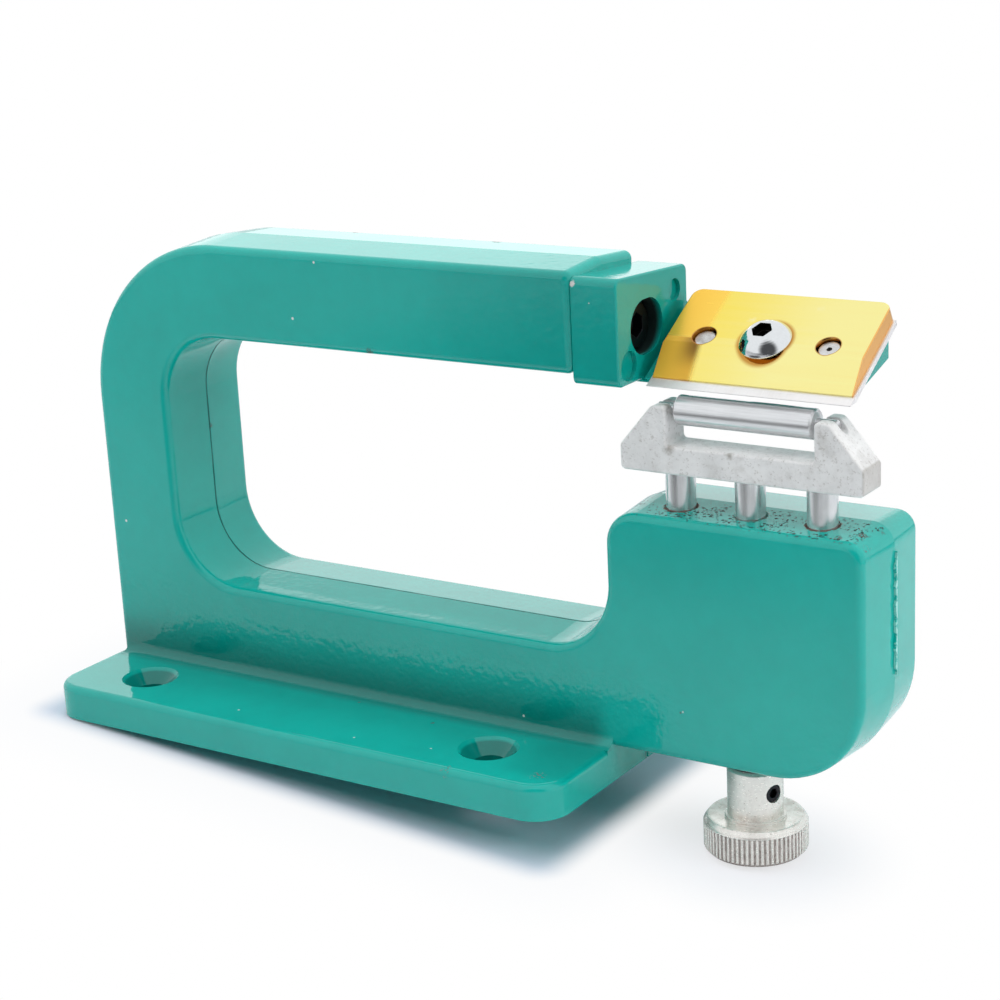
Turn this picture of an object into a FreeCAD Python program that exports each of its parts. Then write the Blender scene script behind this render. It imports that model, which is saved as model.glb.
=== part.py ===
import FreeCAD, Part
import math
import os

V = FreeCAD.Vector
X_AXIS = V(1, 0, 0)
Z_AXIS = V(0, 0, 1)

# ------------------------------------------------------------------ driving sizes, mm
# Origin: centre of the base's four-hole pattern, on the underside of the base.
# +X points to the blade, +Y to the back, +Z up.

# base flange
BASE_LENGTH = 177.0
BASE_DEPTH = 101.0
BASE_THICKNESS = 10.0
BASE_CORNER_R = 10.0
BASE_TOP_ROUND = 2.0
BASE_SEAM_NICK = 0.8
HOLE_PITCH_X = 122.0
HOLE_PITCH_Y = 66.0
HOLE_D = 9.0
HOLE_SINK_D = 17.0
HOLE_FROM_LEFT = 25.0
WEB_FOOT_R = 3.0
COLUMN_SINK = 8.0
COLUMN_SINK_R = 4.0

# C-frame, drafted both ways from the mould's parting plane at y = 0
WEB_THICKNESS = 34.4
CROWN = 1.2
EDGE_ROUND = 2.25
COLUMN_WIDTH = 27.0
NECK_HEIGHT = 26.3
THROAT_WIDTH = 149.5
THROAT_HEIGHT = 76.1
ARM_HEIGHT = 26.9
HEEL_R = 48.0
THROAT_TOP_R = 20.0
THROAT_BACK_R = 21.0
THROAT_FRONT_R = 20.0

# front block of the frame
BLOCK_WIDTH = 73.5
BLOCK_RISE = 40.3
BLOCK_INNER_R = 9.0
BLOCK_OUTER_R = 5.0
BLOCK_LOWER_R = 26.0
FLASH_HEIGHT = 0.7
FLASH_WIDTH = 1.6
FLASH_WAVE = 0.45
FLASH_TOP_DROP = 6.0
FLASH_LENGTH = 33.0

# line of the roller, the yoke and the posts
TOOL_FROM_THROAT = 38.0
TOOL_Y = -7.05
RUN_CLEARANCE = 0.05
FIXED_CLEARANCE = 0.02
POST_D = 8.0
POST_PITCH = 20.2
POST_CHAMFER = 0.6
POST_GRIP = 5.5
BORE_FLOOR = 8.0
BORE_MOUTH = 0.5
LIFT_UP = 2.0
LIFT_DOWN = 9.0

# yoke
YOKE_LENGTH = 68.9
YOKE_SHIFT = -0.6
YOKE_DEPTH = 10.7
YOKE_BAR_HEIGHT = 7.5
YOKE_END_HEIGHT = 6.8
EAR_HEIGHT = 18.0
EAR_GAP = 42.0
EAR_TOP_WIDTH = 3.9
EAR_INNER_R = 1.2
EAR_OUTER_R = 2.4
YOKE_EDGE = 0.6
YOKE_CORNER_R = 1.4

# roller
ROLLER_D = 8.0
ROLLER_LENGTH = 39.0
ROLLER_AXIS_HEIGHT = 16.2
ROLLER_CHAMFER = 0.5
JOURNAL_D = 3.2
JOURNAL_SPAN = 51.0

# blade
BLADE_ANGLE = 30.0
BLADE_WIDTH = 57.2
BLADE_HEIGHT = 32.0
BLADE_THICKNESS = 1.5
BLADE_BEVEL = 25.0
BLADE_SHIFT = 0.4
BLADE_AHEAD = 2.6
BLADE_GAP = 2.05
BLADE_BELOW_ARM = 2.95

# clamp plate, its screw and pins
PLATE_WIDTH = 56.2
PLATE_HEIGHT = 30.4
PLATE_THICKNESS = 4.5
PLATE_SETBACK = 3.25
PLATE_BEVEL = 9.7
PLATE_LIP = 0.4
PLATE_CORNER_R = 3.0
PLATE_EDGE = 0.3
CLAMP_SCREW_D = 8.0
CLAMP_SCREW_LENGTH = 12.0
CLAMP_SCREW_UP = 15.9
CLAMP_HEAD_D = 14.0
CLAMP_HEAD_H = 3.8
CLAMP_HEX = 5.0
CLAMP_HEX_DEPTH = 2.6
SCREW_PLAY = 0.5
PIN_D = 6.0
PIN_PITCH = 35.0
PIN_UP = 15.9
PIN_RECESS = 1.0
PIN_IN_SEAT = 3.0
PIN_PLATE_PLAY = 0.25
PIN_BLADE_PLAY = 0.05
PIN_CENTRE_D = 1.6

# blade head
HEAD_THICKNESS = 13.6
HEAD_FRONT = 16.3
HEAD_BACK = 21.2
HEAD_BELOW_ARM = 2.8
HEAD_HEIGHT = 28.6
HEAD_TOP_FALL = 2.4
HEAD_ROUND = 2.2
HEAD_END_ROUND = 0.6
SEAT_LENGTH = 57.1
SEAT_FROM_TOOL = 31.1
SEAT_SETBACK = 4.4
SEAT_NOSE_RUN = 2.1
SEAT_NOSE_DROP = 1.75
SEAT_UNDERSIDE_ANGLE = 15.1
SEAT_GROOVE_WIDTH = 1.3
SEAT_GROOVE_DEPTH = 2.0
SEAT_BOSS_D = 13.0
SEAT_BOSS_LENGTH = 6.5
EJECTOR_DEPTH = 1.2
UPPER_EJECTOR_D = 6.0
UPPER_EJECTOR_Y = 14.3
UPPER_EJECTOR_Z = 20.3
LOWER_EJECTOR_D = 8.0
LOWER_EJECTOR_Y = -10.8
LOWER_EJECTOR_Z = 5.0

# head screw, washer and dowels
HEAD_SCREW_D = 8.0
HEAD_SCREW_LENGTH = 20.0
HEAD_SCREW_HEAD_D = 13.0
HEAD_SCREW_HEAD_H = 5.0
HEAD_SCREW_HEX = 6.0
HEAD_SCREW_HEX_DEPTH = 3.0
HEAD_SCREW_Y = -1.1
HEAD_SCREW_Z = 13.6
COUNTERBORE_D = 14.6
COUNTERBORE_REACH = 2.2
COUNTERBORE_DEPTH = 10.0
WASHER_D = 12.7
WASHER_THICKNESS = 2.0
WASHER_SPLIT = 1.4
DOWEL_D = 4.0
DOWEL_LENGTH = 16.0
UPPER_DOWEL_Y = -9.5
UPPER_DOWEL_Z = 21.0
LOWER_DOWEL_Y = 8.5
LOWER_DOWEL_Z = 7.0

# lead screw, thrust washer and knob
LEAD_SCREW_D = 5.0
LEAD_COLLAR_D = 7.9
LEAD_COLLAR_H = 3.5
LEAD_SHANK_D = 6.0
LEAD_ENGAGEMENT = 30.0
THRUST_WASHER_D = 14.0
THRUST_WASHER_T = 1.2
SPOT_FACE_D = 17.0
KNOB_D = 28.0
KNOB_RIM_HEIGHT = 9.8
KNOB_BEVEL = 1.2
KNOB_KNURLS = 64
KNOB_KNURL_DEPTH = 0.5
KNOB_KNURL_DROP = 1.7
HUB_D = 15.0
HUB_HEIGHT = 14.4
HUB_CHAMFER = 1.0
HUB_STEP_D = 16.4
HUB_STEP_H = 0.3
RIM_DISH = 0.4
KNOB_BORE_FLOOR = 6.0
KNOB_RECESS_D = 20.0
KNOB_RECESS_DEPTH = 1.0
SET_SCREW_D = 5.0
SET_SCREW_LENGTH = 4.0
SET_SCREW_DROP = 6.6
SET_SCREW_TURN = -21.0
SET_SCREW_HEX = 2.5

# ------------------------------------------------------------------ derived places
FRAME_LEFT = -HOLE_PITCH_X / 2 - HOLE_FROM_LEFT
BASE_RIGHT = FRAME_LEFT + BASE_LENGTH
HALF_WEB = WEB_THICKNESS / 2
COLUMN_RIGHT = FRAME_LEFT + COLUMN_WIDTH
THROAT_FLOOR = BASE_THICKNESS + NECK_HEIGHT
ARM_BOTTOM = THROAT_FLOOR + THROAT_HEIGHT
ARM_TOP = ARM_BOTTOM + ARM_HEIGHT
BLOCK_LEFT = COLUMN_RIGHT + THROAT_WIDTH
BLOCK_RIGHT = BLOCK_LEFT + BLOCK_WIDTH
BLOCK_TOP = THROAT_FLOOR + BLOCK_RISE
BORE_BOTTOM = BASE_THICKNESS + BORE_FLOOR

TOOL_X = BLOCK_LEFT + TOOL_FROM_THROAT
SEAT_LEFT = TOOL_X - SEAT_FROM_TOOL
SEAT_RIGHT = SEAT_LEFT + SEAT_LENGTH
HEAD_END = SEAT_LEFT - SEAT_GROOVE_WIDTH
ARM_END = HEAD_END - HEAD_THICKNESS
EDGE_Y = TOOL_Y - BLADE_AHEAD
EDGE_Z = ARM_BOTTOM - BLADE_BELOW_ARM
ROLLER_Z = EDGE_Z - BLADE_GAP - ROLLER_D / 2
YOKE_BOTTOM = ROLLER_Z - ROLLER_AXIS_HEIGHT
POST_TOP = YOKE_BOTTOM + POST_GRIP
POST_BOTTOM = BORE_BOTTOM + LEAD_COLLAR_H + LIFT_DOWN + 1.5
POST_BORE_R = POST_D / 2 + RUN_CLEARANCE
POST_GRIP_R = POST_D / 2 + FIXED_CLEARANCE

SLOPE = math.radians(BLADE_ANGLE)
UPHILL = V(0, math.cos(SLOPE), math.sin(SLOPE))
SEAT_NORMAL = V(0, -math.sin(SLOPE), math.cos(SLOPE))
BLADE_TOP = BLADE_THICKNESS
PLATE_TOP = BLADE_THICKNESS + PLATE_THICKNESS
BLADE_X = TOOL_X + BLADE_SHIFT
YOKE_X = TOOL_X + YOKE_SHIFT
HEAD_BOTTOM = ARM_BOTTOM - HEAD_BELOW_ARM
HEAD_SCREW_AT = V(ARM_END, HEAD_SCREW_Y, HEAD_BOTTOM + HEAD_SCREW_Z)
WASHER_X = HEAD_END - COUNTERBORE_DEPTH

HUB_TOP = BASE_THICKNESS - THRUST_WASHER_T
RIM_TOP = HUB_TOP - HUB_HEIGHT
KNOB_BOTTOM = RIM_TOP - KNOB_RIM_HEIGHT
SHANK_BOTTOM = KNOB_BOTTOM + KNOB_BORE_FLOOR
SHANK_BORE_R = LEAD_SHANK_D / 2 + RUN_CLEARANCE
LEAD_TOP = POST_BOTTOM + LEAD_ENGAGEMENT
POST_HOLLOW_TOP = LEAD_TOP + LIFT_DOWN + 2.0


# ------------------------------------------------------------------ helpers
def seat_point(x, up, height):
    """Place on the blade's slope: up from the cutting edge, height above the seat."""
    edge = V(x, EDGE_Y, EDGE_Z)
    return edge + UPHILL * up + SEAT_NORMAL * (height - BLADE_TOP)


def polygon_face(points):
    return Part.Face(Part.makePolygon(points + points[:1]))


def box(x0, x1, y0, y1, z0, z1):
    return Part.makeBox(x1 - x0, y1 - y0, z1 - z0, V(x0, y0, z0))


def rod(radius, start, direction, length):
    return Part.makeCylinder(radius, length, start, direction)


def turned(profile, start, direction):
    """Solid of revolution; profile is (radius, height) along direction from start."""
    face = polygon_face([V(r, 0, h) for r, h in profile])
    solid = face.revolve(V(0, 0, 0), Z_AXIS, 360)
    solid.Placement = FreeCAD.Placement(start, FreeCAD.Rotation(Z_AXIS, direction))
    return solid


def hexagon(across, start, direction, depth):
    """Hexagonal prism that cuts a socket, across its flats."""
    reach = across / math.sqrt(3)
    points = []
    for k in range(6):
        angle = math.radians(60 * k)
        points.append(V(reach * math.cos(angle), reach * math.sin(angle), 0))
    solid = polygon_face(points).extrude(V(0, 0, depth))
    solid.Placement = FreeCAD.Placement(start, FreeCAD.Rotation(Z_AXIS, direction))
    return solid


def edges_where(shape, test):
    """Edges whose end points and middle all pass the test."""
    found = []
    for edge in shape.Edges:
        middle = edge.valueAt((edge.FirstParameter + edge.LastParameter) / 2)
        points = [vertex.Point for vertex in edge.Vertexes] + [middle]
        if all(test(p) for p in points):
            found.append(edge)
    return found


def near(a, b):
    return abs(a - b) < 1e-4


def export(shape, node):
    solids = shape.Solids
    if len(solids) != 1 or not solids[0].isValid():
        raise RuntimeError("%s is not one valid solid" % node)
    solids[0].exportStep("parts/%s.step" % node)


# ------------------------------------------------------------------ frame casting
# Corners of the frame's outline in x and z, clockwise from the lower left. Each has
# its radius and a flag that says whether the edge after it is drafted.
def frame_corners():
    sunk = BASE_THICKNESS - COLUMN_SINK
    return [
        (FRAME_LEFT, sunk, 0.0, 0),
        (FRAME_LEFT, ARM_TOP, HEEL_R, 1),
        (ARM_END, ARM_TOP, 0.0, 0),
        (ARM_END, ARM_BOTTOM, 0.0, 1),
        (COLUMN_RIGHT, ARM_BOTTOM, THROAT_TOP_R, 1),
        (COLUMN_RIGHT, THROAT_FLOOR, THROAT_BACK_R, 1),
        (BLOCK_LEFT, THROAT_FLOOR, THROAT_FRONT_R, 1),
        (BLOCK_LEFT, BLOCK_TOP, BLOCK_INNER_R, 1),
        (BLOCK_RIGHT, BLOCK_TOP, BLOCK_OUTER_R, 1),
        (BLOCK_RIGHT, BASE_THICKNESS, BLOCK_LOWER_R, 1),
        (COLUMN_RIGHT, BASE_THICKNESS, COLUMN_SINK_R, 0),
        (COLUMN_RIGHT, sunk, 0.0, 0),
    ]


def frame_outline(grow, y):
    """Closed outline at one y, with its drafted edges moved outwards by grow."""
    corners = frame_corners()
    count = len(corners)
    places = [V(x, y, z) for x, z, _, _ in corners]
    ways = [(places[(k + 1) % count] - places[k]).normalize() for k in range(count)]
    ends = []
    for k in range(count):
        before = ways[k - 1]
        after = ways[k]
        out_before = V(-before.z, 0, before.x) * (grow * corners[k - 1][3])
        out_after = V(-after.z, 0, after.x) * (grow * corners[k][3])
        corner = places[k] + out_before + out_after
        radius = corners[k][2]
        if radius > 0:
            outward = 1 if before.cross(after).y > 0 else -1
            radius += outward * grow * min(corners[k - 1][3], corners[k][3])
        ends.append((corner, radius, before, after))
    edges = []
    for k in range(count):
        corner, radius, before, after = ends[k]
        start = corner - before * radius
        stop = corner + after * radius
        if radius > 0:
            centre = start + after * radius
            middle = centre + (corner - centre).normalize() * radius
            edges.append(Part.Arc(start, middle, stop).toShape())
        following, next_radius, _, _ = ends[(k + 1) % count]
        edges.append(Part.makeLine(stop, following - after * next_radius))
    return Part.Wire(edges)


def frame_web():
    middle = frame_outline(CROWN, 0.0)
    halves = []
    for side in (-1, 1):
        rim = frame_outline(0.0, side * HALF_WEB)
        halves.append(Part.makeLoft([middle, rim], True, True))
    web = halves[0].fuse(halves[1])

    def outline_edge(p):
        return near(abs(p.y), HALF_WEB)

    def at_joint(p):
        return near(p.x, ARM_END)

    def sunk(p):
        return near(p.z, BASE_THICKNESS - COLUMN_SINK)

    kept = edges_where(web, sunk)
    rounded = edges_where(web, outline_edge) + edges_where(web, at_joint)
    singles = []
    for edge in rounded:
        if not any(edge.isSame(other) for other in kept + singles):
            singles.append(edge)
    return web.makeFillet(EDGE_ROUND, singles)


def base_flange():
    half = BASE_DEPTH / 2
    flange = box(FRAME_LEFT, BASE_RIGHT, -half, half, 0, BASE_THICKNESS)
    upright = [e for e in flange.Edges if near(abs(e.tangentAt(e.FirstParameter).z), 1)]
    flange = flange.makeFillet(BASE_CORNER_R, upright)
    rim = edges_where(flange, lambda p: near(p.z, BASE_THICKNESS))
    return flange.makeFillet(BASE_TOP_ROUND, rim)


def web_foot():
    """Straight foot of the web in the flange, with a hollow fillet on both sides."""
    bottom = BASE_THICKNESS / 2
    top = BASE_THICKNESS + WEB_FOOT_R
    start = FRAME_LEFT + EDGE_ROUND
    foot = box(start, BASE_RIGHT, -HALF_WEB, HALF_WEB, bottom, top)
    for side in (-1, 1):
        inner = side * (HALF_WEB - 1)
        wall = side * HALF_WEB
        toe = side * (HALF_WEB + WEB_FOOT_R)
        reach = WEB_FOOT_R * (1 - math.sqrt(0.5))
        arc = Part.Arc(
            V(start, toe, BASE_THICKNESS),
            V(start, wall + side * reach, BASE_THICKNESS + reach),
            V(start, wall, top),
        ).toShape()
        sides = Part.makePolygon([
            V(start, wall, top),
            V(start, inner, top),
            V(start, inner, bottom),
            V(start, toe, bottom),
            V(start, toe, BASE_THICKNESS),
        ])
        profile = Part.Face(Part.Wire([arc] + sides.Edges))
        foot = foot.fuse(profile.extrude(V(BASE_RIGHT - start, 0, 0)))
    return foot


def flash_bead():
    """Thin wavy ridge where the mould halves met, on the block's end."""
    top = BLOCK_TOP - FLASH_TOP_DROP
    steps = 33
    near_side = []
    far_side = []
    for k in range(steps + 1):
        z = top - FLASH_LENGTH * k / steps
        wave = FLASH_WAVE * math.sin(k * 1.9) * math.cos(k * 0.7)
        taper = min(1.0, (k + 1) / 4, (steps + 1 - k) / 4)
        near_side.append(V(BLOCK_RIGHT, wave - FLASH_WIDTH / 2 * taper, z))
        far_side.append(V(BLOCK_RIGHT, wave + FLASH_WIDTH / 2 * taper, z))
    ridge = polygon_face(near_side + far_side[::-1])
    return ridge.extrude(V(CROWN + FLASH_HEIGHT, 0, 0))


def countersunk_hole(x, y):
    sink = (HOLE_SINK_D - HOLE_D) / 2
    profile = [
        (0, 0),
        (HOLE_D / 2, 0),
        (HOLE_D / 2, BASE_THICKNESS - sink),
        (HOLE_SINK_D / 2, BASE_THICKNESS),
        (HOLE_SINK_D / 2, BASE_THICKNESS + 1),
        (0, BASE_THICKNESS + 1),
    ]
    return turned(profile, V(x, y, 0), Z_AXIS)


def post_bore(x):
    """Running bore for a post, open at the block's top, with a small mouth chamfer."""
    rim = BLOCK_TOP + CROWN * (1 + TOOL_Y / HALF_WEB)
    profile = [
        (0, BORE_BOTTOM),
        (POST_BORE_R, BORE_BOTTOM),
        (POST_BORE_R, rim - BORE_MOUTH),
        (POST_BORE_R + BORE_MOUTH, rim),
        (POST_BORE_R + BORE_MOUTH, rim + CROWN),
        (0, rim + CROWN),
    ]
    return turned(profile, V(x, TOOL_Y, 0), Z_AXIS)


def make_frame_casting():
    casting = frame_web().fuse(base_flange())
    casting = casting.fuse(web_foot())
    casting = casting.fuse(flash_bead())
    cutters = []
    for x in (-HOLE_PITCH_X / 2, HOLE_PITCH_X / 2):
        for y in (-HOLE_PITCH_Y / 2, HOLE_PITCH_Y / 2):
            cutters.append(countersunk_hole(x, y))
    for step in (-1, 0, 1):
        cutters.append(post_bore(TOOL_X + step * POST_PITCH))
    below = V(TOOL_X, TOOL_Y, BASE_THICKNESS - CROWN - 1)
    cutters.append(rod(SHANK_BORE_R, below, Z_AXIS, BORE_BOTTOM - below.z + 0.5))
    cutters.append(rod(SPOT_FACE_D / 2, below, Z_AXIS, CROWN + 1))
    reach = HEAD_SCREW_LENGTH - WASHER_THICKNESS - (HEAD_THICKNESS - COUNTERBORE_DEPTH) + 2
    cutters.append(rod(HEAD_SCREW_D / 2 + FIXED_CLEARANCE, HEAD_SCREW_AT, -X_AXIS, reach))
    for y, z in ((UPPER_DOWEL_Y, UPPER_DOWEL_Z), (LOWER_DOWEL_Y, LOWER_DOWEL_Z)):
        at = V(ARM_END, y, HEAD_BOTTOM + z)
        cutters.append(rod(DOWEL_D / 2 + FIXED_CLEARANCE, at, -X_AXIS, DOWEL_LENGTH / 2))
    nick = BASE_SEAM_NICK
    cutters.append(box(BASE_RIGHT - nick, BASE_RIGHT + 1, 1 - nick / 2, 1 + nick / 2, -1, 2))
    return casting.cut(cutters)


# ------------------------------------------------------------------ blade head
def head_flange():
    slab = polygon_face([
        V(ARM_END, -HEAD_FRONT, HEAD_BOTTOM),
        V(ARM_END, -HEAD_FRONT, HEAD_BOTTOM + HEAD_HEIGHT),
        V(ARM_END, HEAD_BACK, HEAD_BOTTOM + HEAD_HEIGHT - HEAD_TOP_FALL),
        V(ARM_END, HEAD_BACK, HEAD_BOTTOM),
    ]).extrude(V(HEAD_THICKNESS, 0, 0))
    sides = [e for e in slab.Edges if near(abs(e.tangentAt(e.FirstParameter).x), 1)]
    slab = slab.makeFillet(HEAD_ROUND, sides)
    return slab.makeFillet(HEAD_END_ROUND, edges_where(slab, lambda p: near(p.x, HEAD_END)))


def seat_wedge():
    nose = seat_point(0, SEAT_SETBACK, 0)
    rise = math.tan(math.radians(SEAT_UNDERSIDE_ANGLE))
    nose_foot = V(0, nose.y + SEAT_NOSE_RUN, nose.z - SEAT_NOSE_DROP)
    back_foot = V(0, HEAD_BACK, nose_foot.z + (HEAD_BACK - nose_foot.y) * rise)
    back_top = V(0, HEAD_BACK, nose.z + (HEAD_BACK - nose.y) * math.tan(SLOPE))
    face = polygon_face([nose, back_top, back_foot, nose_foot])
    start = HEAD_END - HEAD_THICKNESS / 2
    face.translate(V(start, 0, 0))
    wedge = face.extrude(V(SEAT_RIGHT - start, 0, 0))
    corners = edges_where(wedge, lambda p: near(p.x, SEAT_RIGHT) and near(p.y, HEAD_BACK))
    return wedge.makeFillet(HEAD_ROUND / 2, corners)


def seat_boss():
    at = seat_point(BLADE_X, CLAMP_SCREW_UP, 0)
    return rod(SEAT_BOSS_D / 2, at - SEAT_NORMAL * 0.5, -SEAT_NORMAL, SEAT_BOSS_LENGTH - 0.5)


def seat_groove():
    """Relief between the flange and the pad that the blade lies on."""
    low = seat_point(HEAD_END, -5, -SEAT_GROOVE_DEPTH)
    along = UPHILL * (BLADE_HEIGHT + 30)
    rise = SEAT_NORMAL * (SEAT_GROOVE_DEPTH + 20)
    face = polygon_face([low, low + along, low + along + rise, low + rise])
    return face.extrude(V(SEAT_GROOVE_WIDTH, 0, 0))


def counterbore():
    """Oblong recess for the screw's head, longer from front to back."""
    deep = V(WASHER_X, HEAD_SCREW_Y, HEAD_SCREW_AT.z)
    length = COUNTERBORE_DEPTH + 20
    radius = COUNTERBORE_D / 2
    half = COUNTERBORE_REACH / 2
    middle = box(0, length, -half, half, -radius, radius)
    middle.translate(deep)
    ends = [rod(radius, deep + V(0, side * half, 0), X_AXIS, length) for side in (-1, 1)]
    return middle.fuse(ends)


def make_blade_head():
    head = seat_wedge().fuse(seat_boss()).cut(seat_groove())
    head = head.fuse(head_flange())
    screw = rod(HEAD_SCREW_D / 2 + 0.3, HEAD_SCREW_AT - X_AXIS, X_AXIS, HEAD_THICKNESS + 2)
    cutters = [screw, counterbore()]
    for y, z in ((UPPER_DOWEL_Y, UPPER_DOWEL_Z), (LOWER_DOWEL_Y, LOWER_DOWEL_Z)):
        at = V(ARM_END, y, HEAD_BOTTOM + z)
        cutters.append(rod(DOWEL_D / 2 + FIXED_CLEARANCE, at, X_AXIS, DOWEL_LENGTH / 2))
    marks = (
        (UPPER_EJECTOR_D, UPPER_EJECTOR_Y, UPPER_EJECTOR_Z),
        (LOWER_EJECTOR_D, LOWER_EJECTOR_Y, LOWER_EJECTOR_Z),
    )
    for width, y, z in marks:
        at = V(HEAD_END - EJECTOR_DEPTH, y, HEAD_BOTTOM + z)
        cutters.append(rod(width / 2, at, X_AXIS, EJECTOR_DEPTH + 1))
    thread = seat_point(BLADE_X, CLAMP_SCREW_UP, 1)
    radius = CLAMP_SCREW_D / 2 + FIXED_CLEARANCE
    cutters.append(rod(radius, thread, -SEAT_NORMAL, SEAT_BOSS_LENGTH + 2))
    for side in (-1, 1):
        at = seat_point(BLADE_X + side * PIN_PITCH / 2, PIN_UP, 1)
        cutters.append(rod(PIN_D / 2 + FIXED_CLEARANCE, at, -SEAT_NORMAL, PIN_IN_SEAT + 1))
    return head.cut(cutters)


def make_head_screw():
    grip = HEAD_SCREW_LENGTH
    radius = HEAD_SCREW_D / 2
    head = HEAD_SCREW_HEAD_D / 2
    bevel = 0.6
    profile = [
        (0, -grip),
        (radius - bevel, -grip),
        (radius, -grip + bevel),
        (radius, 0),
        (head, 0),
        (head, HEAD_SCREW_HEAD_H - bevel),
        (head - bevel, HEAD_SCREW_HEAD_H),
        (0, HEAD_SCREW_HEAD_H),
    ]
    under = V(WASHER_X + WASHER_THICKNESS, HEAD_SCREW_Y, HEAD_SCREW_AT.z)
    top = under + X_AXIS * (HEAD_SCREW_HEAD_H - HEAD_SCREW_HEX_DEPTH)
    socket = hexagon(HEAD_SCREW_HEX, top, X_AXIS, HEAD_SCREW_HEX_DEPTH + 1)
    return turned(profile, under, X_AXIS).cut(socket)


def make_head_spring_washer():
    at = V(WASHER_X, HEAD_SCREW_Y, HEAD_SCREW_AT.z)
    ring = rod(WASHER_D / 2, at, X_AXIS, WASHER_THICKNESS)
    ring = ring.cut(rod(HEAD_SCREW_D / 2 + 0.3, at, X_AXIS, WASHER_THICKNESS))
    half = WASHER_SPLIT / 2
    split = box(-1, WASHER_THICKNESS + 1, -half, half, 0, WASHER_D)
    split.translate(at)
    return ring.cut(split)


def make_head_dowel(y, z):
    at = V(ARM_END - DOWEL_LENGTH / 2, y, HEAD_BOTTOM + z)
    pin = rod(DOWEL_D / 2, at, X_AXIS, DOWEL_LENGTH)
    return pin.makeChamfer(0.4, [e for e in pin.Edges if e.Length > 6 and len(e.Vertexes) == 1])


# ------------------------------------------------------------------ blade and clamp
def make_blade():
    ground = BLADE_THICKNESS / math.tan(math.radians(BLADE_BEVEL))
    left = BLADE_X - BLADE_WIDTH / 2
    blade = polygon_face([
        seat_point(left, 0, BLADE_TOP),
        seat_point(left, BLADE_HEIGHT, BLADE_TOP),
        seat_point(left, BLADE_HEIGHT, 0),
        seat_point(left, ground, 0),
    ]).extrude(V(BLADE_WIDTH, 0, 0))
    at = seat_point(BLADE_X, CLAMP_SCREW_UP, -1)
    cutters = [rod(CLAMP_SCREW_D / 2 + SCREW_PLAY, at, SEAT_NORMAL, BLADE_THICKNESS + 2)]
    for side in (-1, 1):
        at = seat_point(BLADE_X + side * PIN_PITCH / 2, PIN_UP, -1)
        radius = PIN_D / 2 + PIN_BLADE_PLAY
        cutters.append(rod(radius, at, SEAT_NORMAL, BLADE_THICKNESS + 2))
    return blade.cut(cutters)


def make_clamp_plate():
    left = BLADE_X - PLATE_WIDTH / 2
    crease = PLATE_SETBACK + PLATE_BEVEL
    top = PLATE_SETBACK + PLATE_HEIGHT
    plate = polygon_face([
        seat_point(left, PLATE_SETBACK, BLADE_TOP),
        seat_point(left, PLATE_SETBACK, BLADE_TOP + PLATE_LIP),
        seat_point(left, crease, PLATE_TOP),
        seat_point(left, top, PLATE_TOP),
        seat_point(left, top, BLADE_TOP),
    ]).extrude(V(PLATE_WIDTH, 0, 0))
    upper = seat_point(left, top, 0)
    corners = []
    for edge in plate.Edges:
        way = edge.tangentAt(edge.FirstParameter)
        at_top = near((edge.Vertexes[0].Point - upper).dot(UPHILL), 0)
        if at_top and near(abs(way.dot(SEAT_NORMAL)), 1):
            corners.append(edge)
    plate = plate.makeFillet(PLATE_CORNER_R, corners)
    level = seat_point(left, top, PLATE_TOP)

    def beyond_crease(edge):
        middle = edge.valueAt((edge.FirstParameter + edge.LastParameter) / 2)
        return (middle - level).dot(UPHILL) > crease - top + 1

    rim = edges_where(plate, lambda p: near((p - level).dot(SEAT_NORMAL), 0))
    plate = plate.makeChamfer(PLATE_EDGE, [edge for edge in rim if beyond_crease(edge)])
    at = seat_point(BLADE_X, CLAMP_SCREW_UP, 0)
    cutters = [rod(CLAMP_SCREW_D / 2 + SCREW_PLAY, at, SEAT_NORMAL, PLATE_TOP + 2)]
    for side in (-1, 1):
        at = seat_point(BLADE_X + side * PIN_PITCH / 2, PIN_UP, 0)
        radius = PIN_D / 2 + PIN_PLATE_PLAY
        cutters.append(rod(radius, at, SEAT_NORMAL, PLATE_TOP + 2))
    return plate.cut(cutters)


def make_clamp_screw():
    radius = CLAMP_SCREW_D / 2
    head = CLAMP_HEAD_D / 2
    land = CLAMP_HEX / 2 + 0.9
    rim = 0.3
    drop = (head ** 2 - land ** 2 + rim ** 2 - CLAMP_HEAD_H ** 2) / (2 * (rim - CLAMP_HEAD_H))
    ball = math.hypot(head, rim - drop)
    low = math.atan2(rim - drop, head)
    high = math.atan2(CLAMP_HEAD_H - drop, land)
    profile = [(0, -CLAMP_SCREW_LENGTH), (radius - 0.6, -CLAMP_SCREW_LENGTH)]
    profile += [(radius, 0.6 - CLAMP_SCREW_LENGTH), (radius, 0), (head, 0)]
    for k in range(9):
        angle = low + (high - low) * k / 8
        profile.append((ball * math.cos(angle), drop + ball * math.sin(angle)))
    profile.append((0, CLAMP_HEAD_H))
    under = seat_point(BLADE_X, CLAMP_SCREW_UP, PLATE_TOP)
    top = under + SEAT_NORMAL * (CLAMP_HEAD_H - CLAMP_HEX_DEPTH)
    socket = hexagon(CLAMP_HEX, top, SEAT_NORMAL, CLAMP_HEX_DEPTH + 1)
    return turned(profile, under, SEAT_NORMAL).cut(socket)


def make_blade_pin(side, centred):
    radius = PIN_D / 2
    length = PIN_IN_SEAT + PLATE_TOP - PIN_RECESS
    profile = [
        (0, 0),
        (radius - 0.3, 0),
        (radius, 0.3),
        (radius, length - 0.3),
        (radius - 0.3, length),
        (PIN_CENTRE_D / 2, length),
        (0, length - PIN_CENTRE_D / 2 if centred else length),
    ]
    at = seat_point(BLADE_X + side * PIN_PITCH / 2, PIN_UP, -PIN_IN_SEAT)
    return turned(profile, at, SEAT_NORMAL)


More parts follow.
